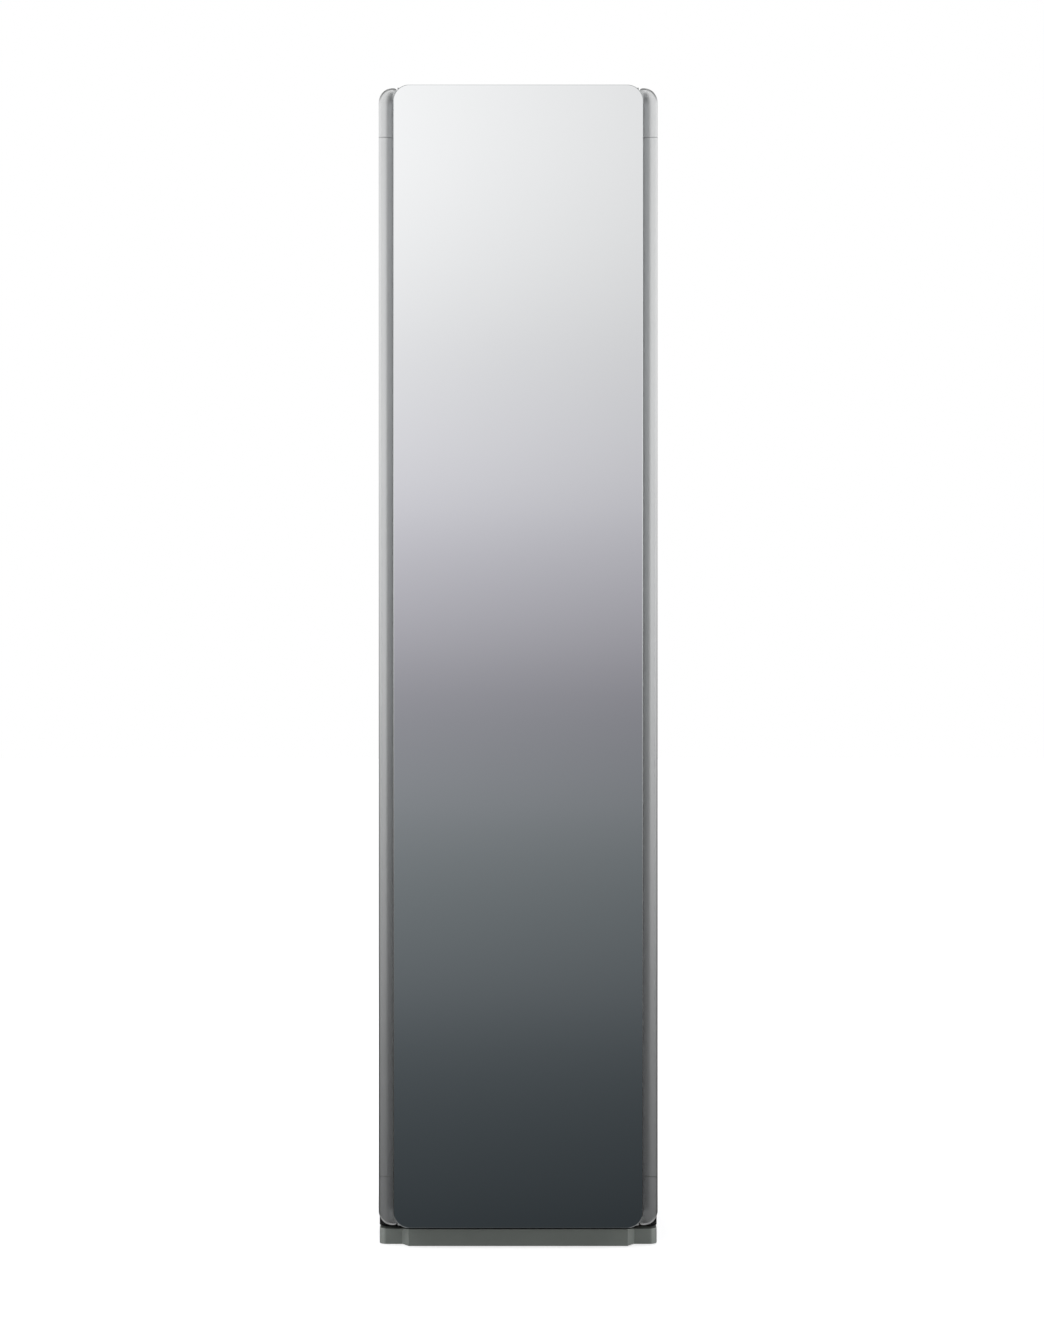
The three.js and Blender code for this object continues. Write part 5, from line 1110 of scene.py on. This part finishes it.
def studio_world():
    """Light by kind of ray: white for the camera, even for matt surfaces, and a studio for reflections.

    The three tables give the studio's light by the height of a reflected ray's direction. A ray that leaves
    nearly along Y meets the graded backdrop, one that leans sideways meets the tall soft boxes, whose light
    reaches further down, and one that leaves almost along X meets the side walls. The backdrop is a little
    brighter on the left than on the right.
    """
    world = bpy.data.worlds.new("studio")
    bpy.context.scene.world = world
    world.use_nodes = True
    f = Nodes(world.node_tree)
    direction = f.node("ShaderNodeTexCoord", output="Generated")
    sideways, deep, height = f.parts("ShaderNodeSeparateXYZ", {0: direction}, 0, 1, 2)
    share = height * 0.5 + 0.5
    backdrop, boxes, sides = (
        f.ramp(share, [((z + 1) / 2, rgba(code)[:3]) for z, code in table])
        for table in (backdrop_light, box_light, side_light))
    aside = abs(sideways)
    away = f.fade(aside, boxes_from, boxes_full)
    far = f.fade(aside, sides_from, sides_full)
    lean = f.node("ShaderNodeClamp", {}, {0: sideways, 1: -boxes_from, 2: boxes_from}) * lean_gain
    behind = f.fade(deep, -0.3, 0.3, 1.0, rear_share)
    seen = f.blend(far, f.blend(away, backdrop, boxes), sides)
    strength = (studio_strength - lean * (1 - away)) * behind
    lights = ((seen, strength), (even_colour, even_strength), (white, 1.0))
    shown, even, plain = (
        f.node("ShaderNodeBackground", {}, {"Color": hue, "Strength": power}) for hue, power in lights)
    camera_ray, glossy_ray, clear_ray = f.parts(
        "ShaderNodeLightPath", {}, "Is Camera Ray", "Is Glossy Ray", "Is Transmission Ray")
    mixed = f.node("ShaderNodeMixShader", {}, {0: glossy_ray, 1: even, 2: shown})
    final = f.node("ShaderNodeMixShader", {}, {0: camera_ray.or_larger(clear_ray), 1: mixed, 2: plain})
    f.node("ShaderNodeOutputWorld", {}, {"Surface": final}, output=None)


studio_world()
print("world ready")

# %% [markdown]
# ## Lamps and floor
#
# Three large area lamps stand for soft boxes: the main one on the left, a weaker one on the right, and one
# behind for the top and the back. Reflections don't show them, because the world already holds what the
# mirror sees. The floor is pale and matt, so it takes a faint shadow at the feet.


# %% Lamps and floor
def soft_lamp(name, place_at, target, size, power):
    """An area lamp that looks at a point and isn't seen in reflections."""
    data = bpy.data.lights.new(name, "AREA")
    data.shape = "RECTANGLE"
    data.size, data.size_y = size
    data.energy = power
    lamp = bpy.data.objects.new(name, data)
    bpy.context.scene.collection.objects.link(lamp)
    lamp.location = place_at
    lamp.rotation_euler = (Vector(target) - Vector(place_at)).to_track_quat("-Z", "Y").to_euler()
    lamp.visible_glossy = False


soft_lamp("key_light", (-2.6, -3.4, 3.4), (0, 0, 1.0), (2.2, 2.2), 60)
soft_lamp("fill_light", (3.0, -2.6, 2.2), (0, 0, 0.9), (2.4, 2.4), 26)
soft_lamp("back_light", (0.6, 3.6, 3.2), (0, 0, 1.0), (2.4, 2.0), 30)


def pale_floor(reach):
    """A flat floor whose matt surface takes the shadow, and whose glow lets it meet the white behind it."""
    corners = [(-reach, -reach, 0), (reach, -reach, 0), (reach, reach, 0), (-reach, reach, 0)]
    floor = make_object("floor", corners, [[0, 1, 2, 3]])
    f = Finish("floor_white")
    matt = f.node("ShaderNodeBsdfDiffuse", {}, {"Color": (0.8, 0.8, 0.8, 1)})
    glow = f.node("ShaderNodeEmission", {}, {"Color": white, "Strength": even_strength})
    (seen,) = f.parts("ShaderNodeLightPath", {}, "Is Camera Ray")
    both = f.node("ShaderNodeAddShader", {}, {0: matt, 1: glow})
    surface = f.node("ShaderNodeMixShader", {}, {0: seen, 1: matt, 2: both})
    f.node("ShaderNodeOutputMaterial", {}, {"Surface": surface}, output=None)
    give(floor, f.material)
    floor.visible_glossy = False


pale_floor(30.0)
print("floor and lamps ready")

# %% [markdown]
# ## Camera
#
# The photograph was taken square to the mirror, so its rows are all of one height there. From the rows and
# columns of the mirror's edges follow the camera's height, its lens and a small shift of the frame.

# %% Camera
camera_data = bpy.data.cameras.new("photo_camera")
camera = bpy.data.objects.new("photo_camera", camera_data)
bpy.context.scene.collection.objects.link(camera)
camera_distance, camera_height = 5.5, 0.922
row_height = 1.5867 * mm
image_rows, middle_row, middle_column = 1334, 667, 522
camera_row, mirror_column = 669.4, 518.2
sensor_width = 36
camera.location = (0, glass_face - camera_distance, camera_height)
camera.rotation_euler = (math.radians(90), 0, 0)
camera_data.sensor_width = sensor_width
camera_data.lens = sensor_width * camera_distance / (row_height * image_rows)
camera_data.shift_x = (middle_column - mirror_column) / image_rows
camera_data.shift_y = (camera_row - middle_row) / image_rows
camera_data.clip_end = 100
bpy.context.scene.camera = camera
bpy.context.scene.view_settings.view_transform = "Standard"
print("lens:", round(camera_data.lens, 1), "mm")
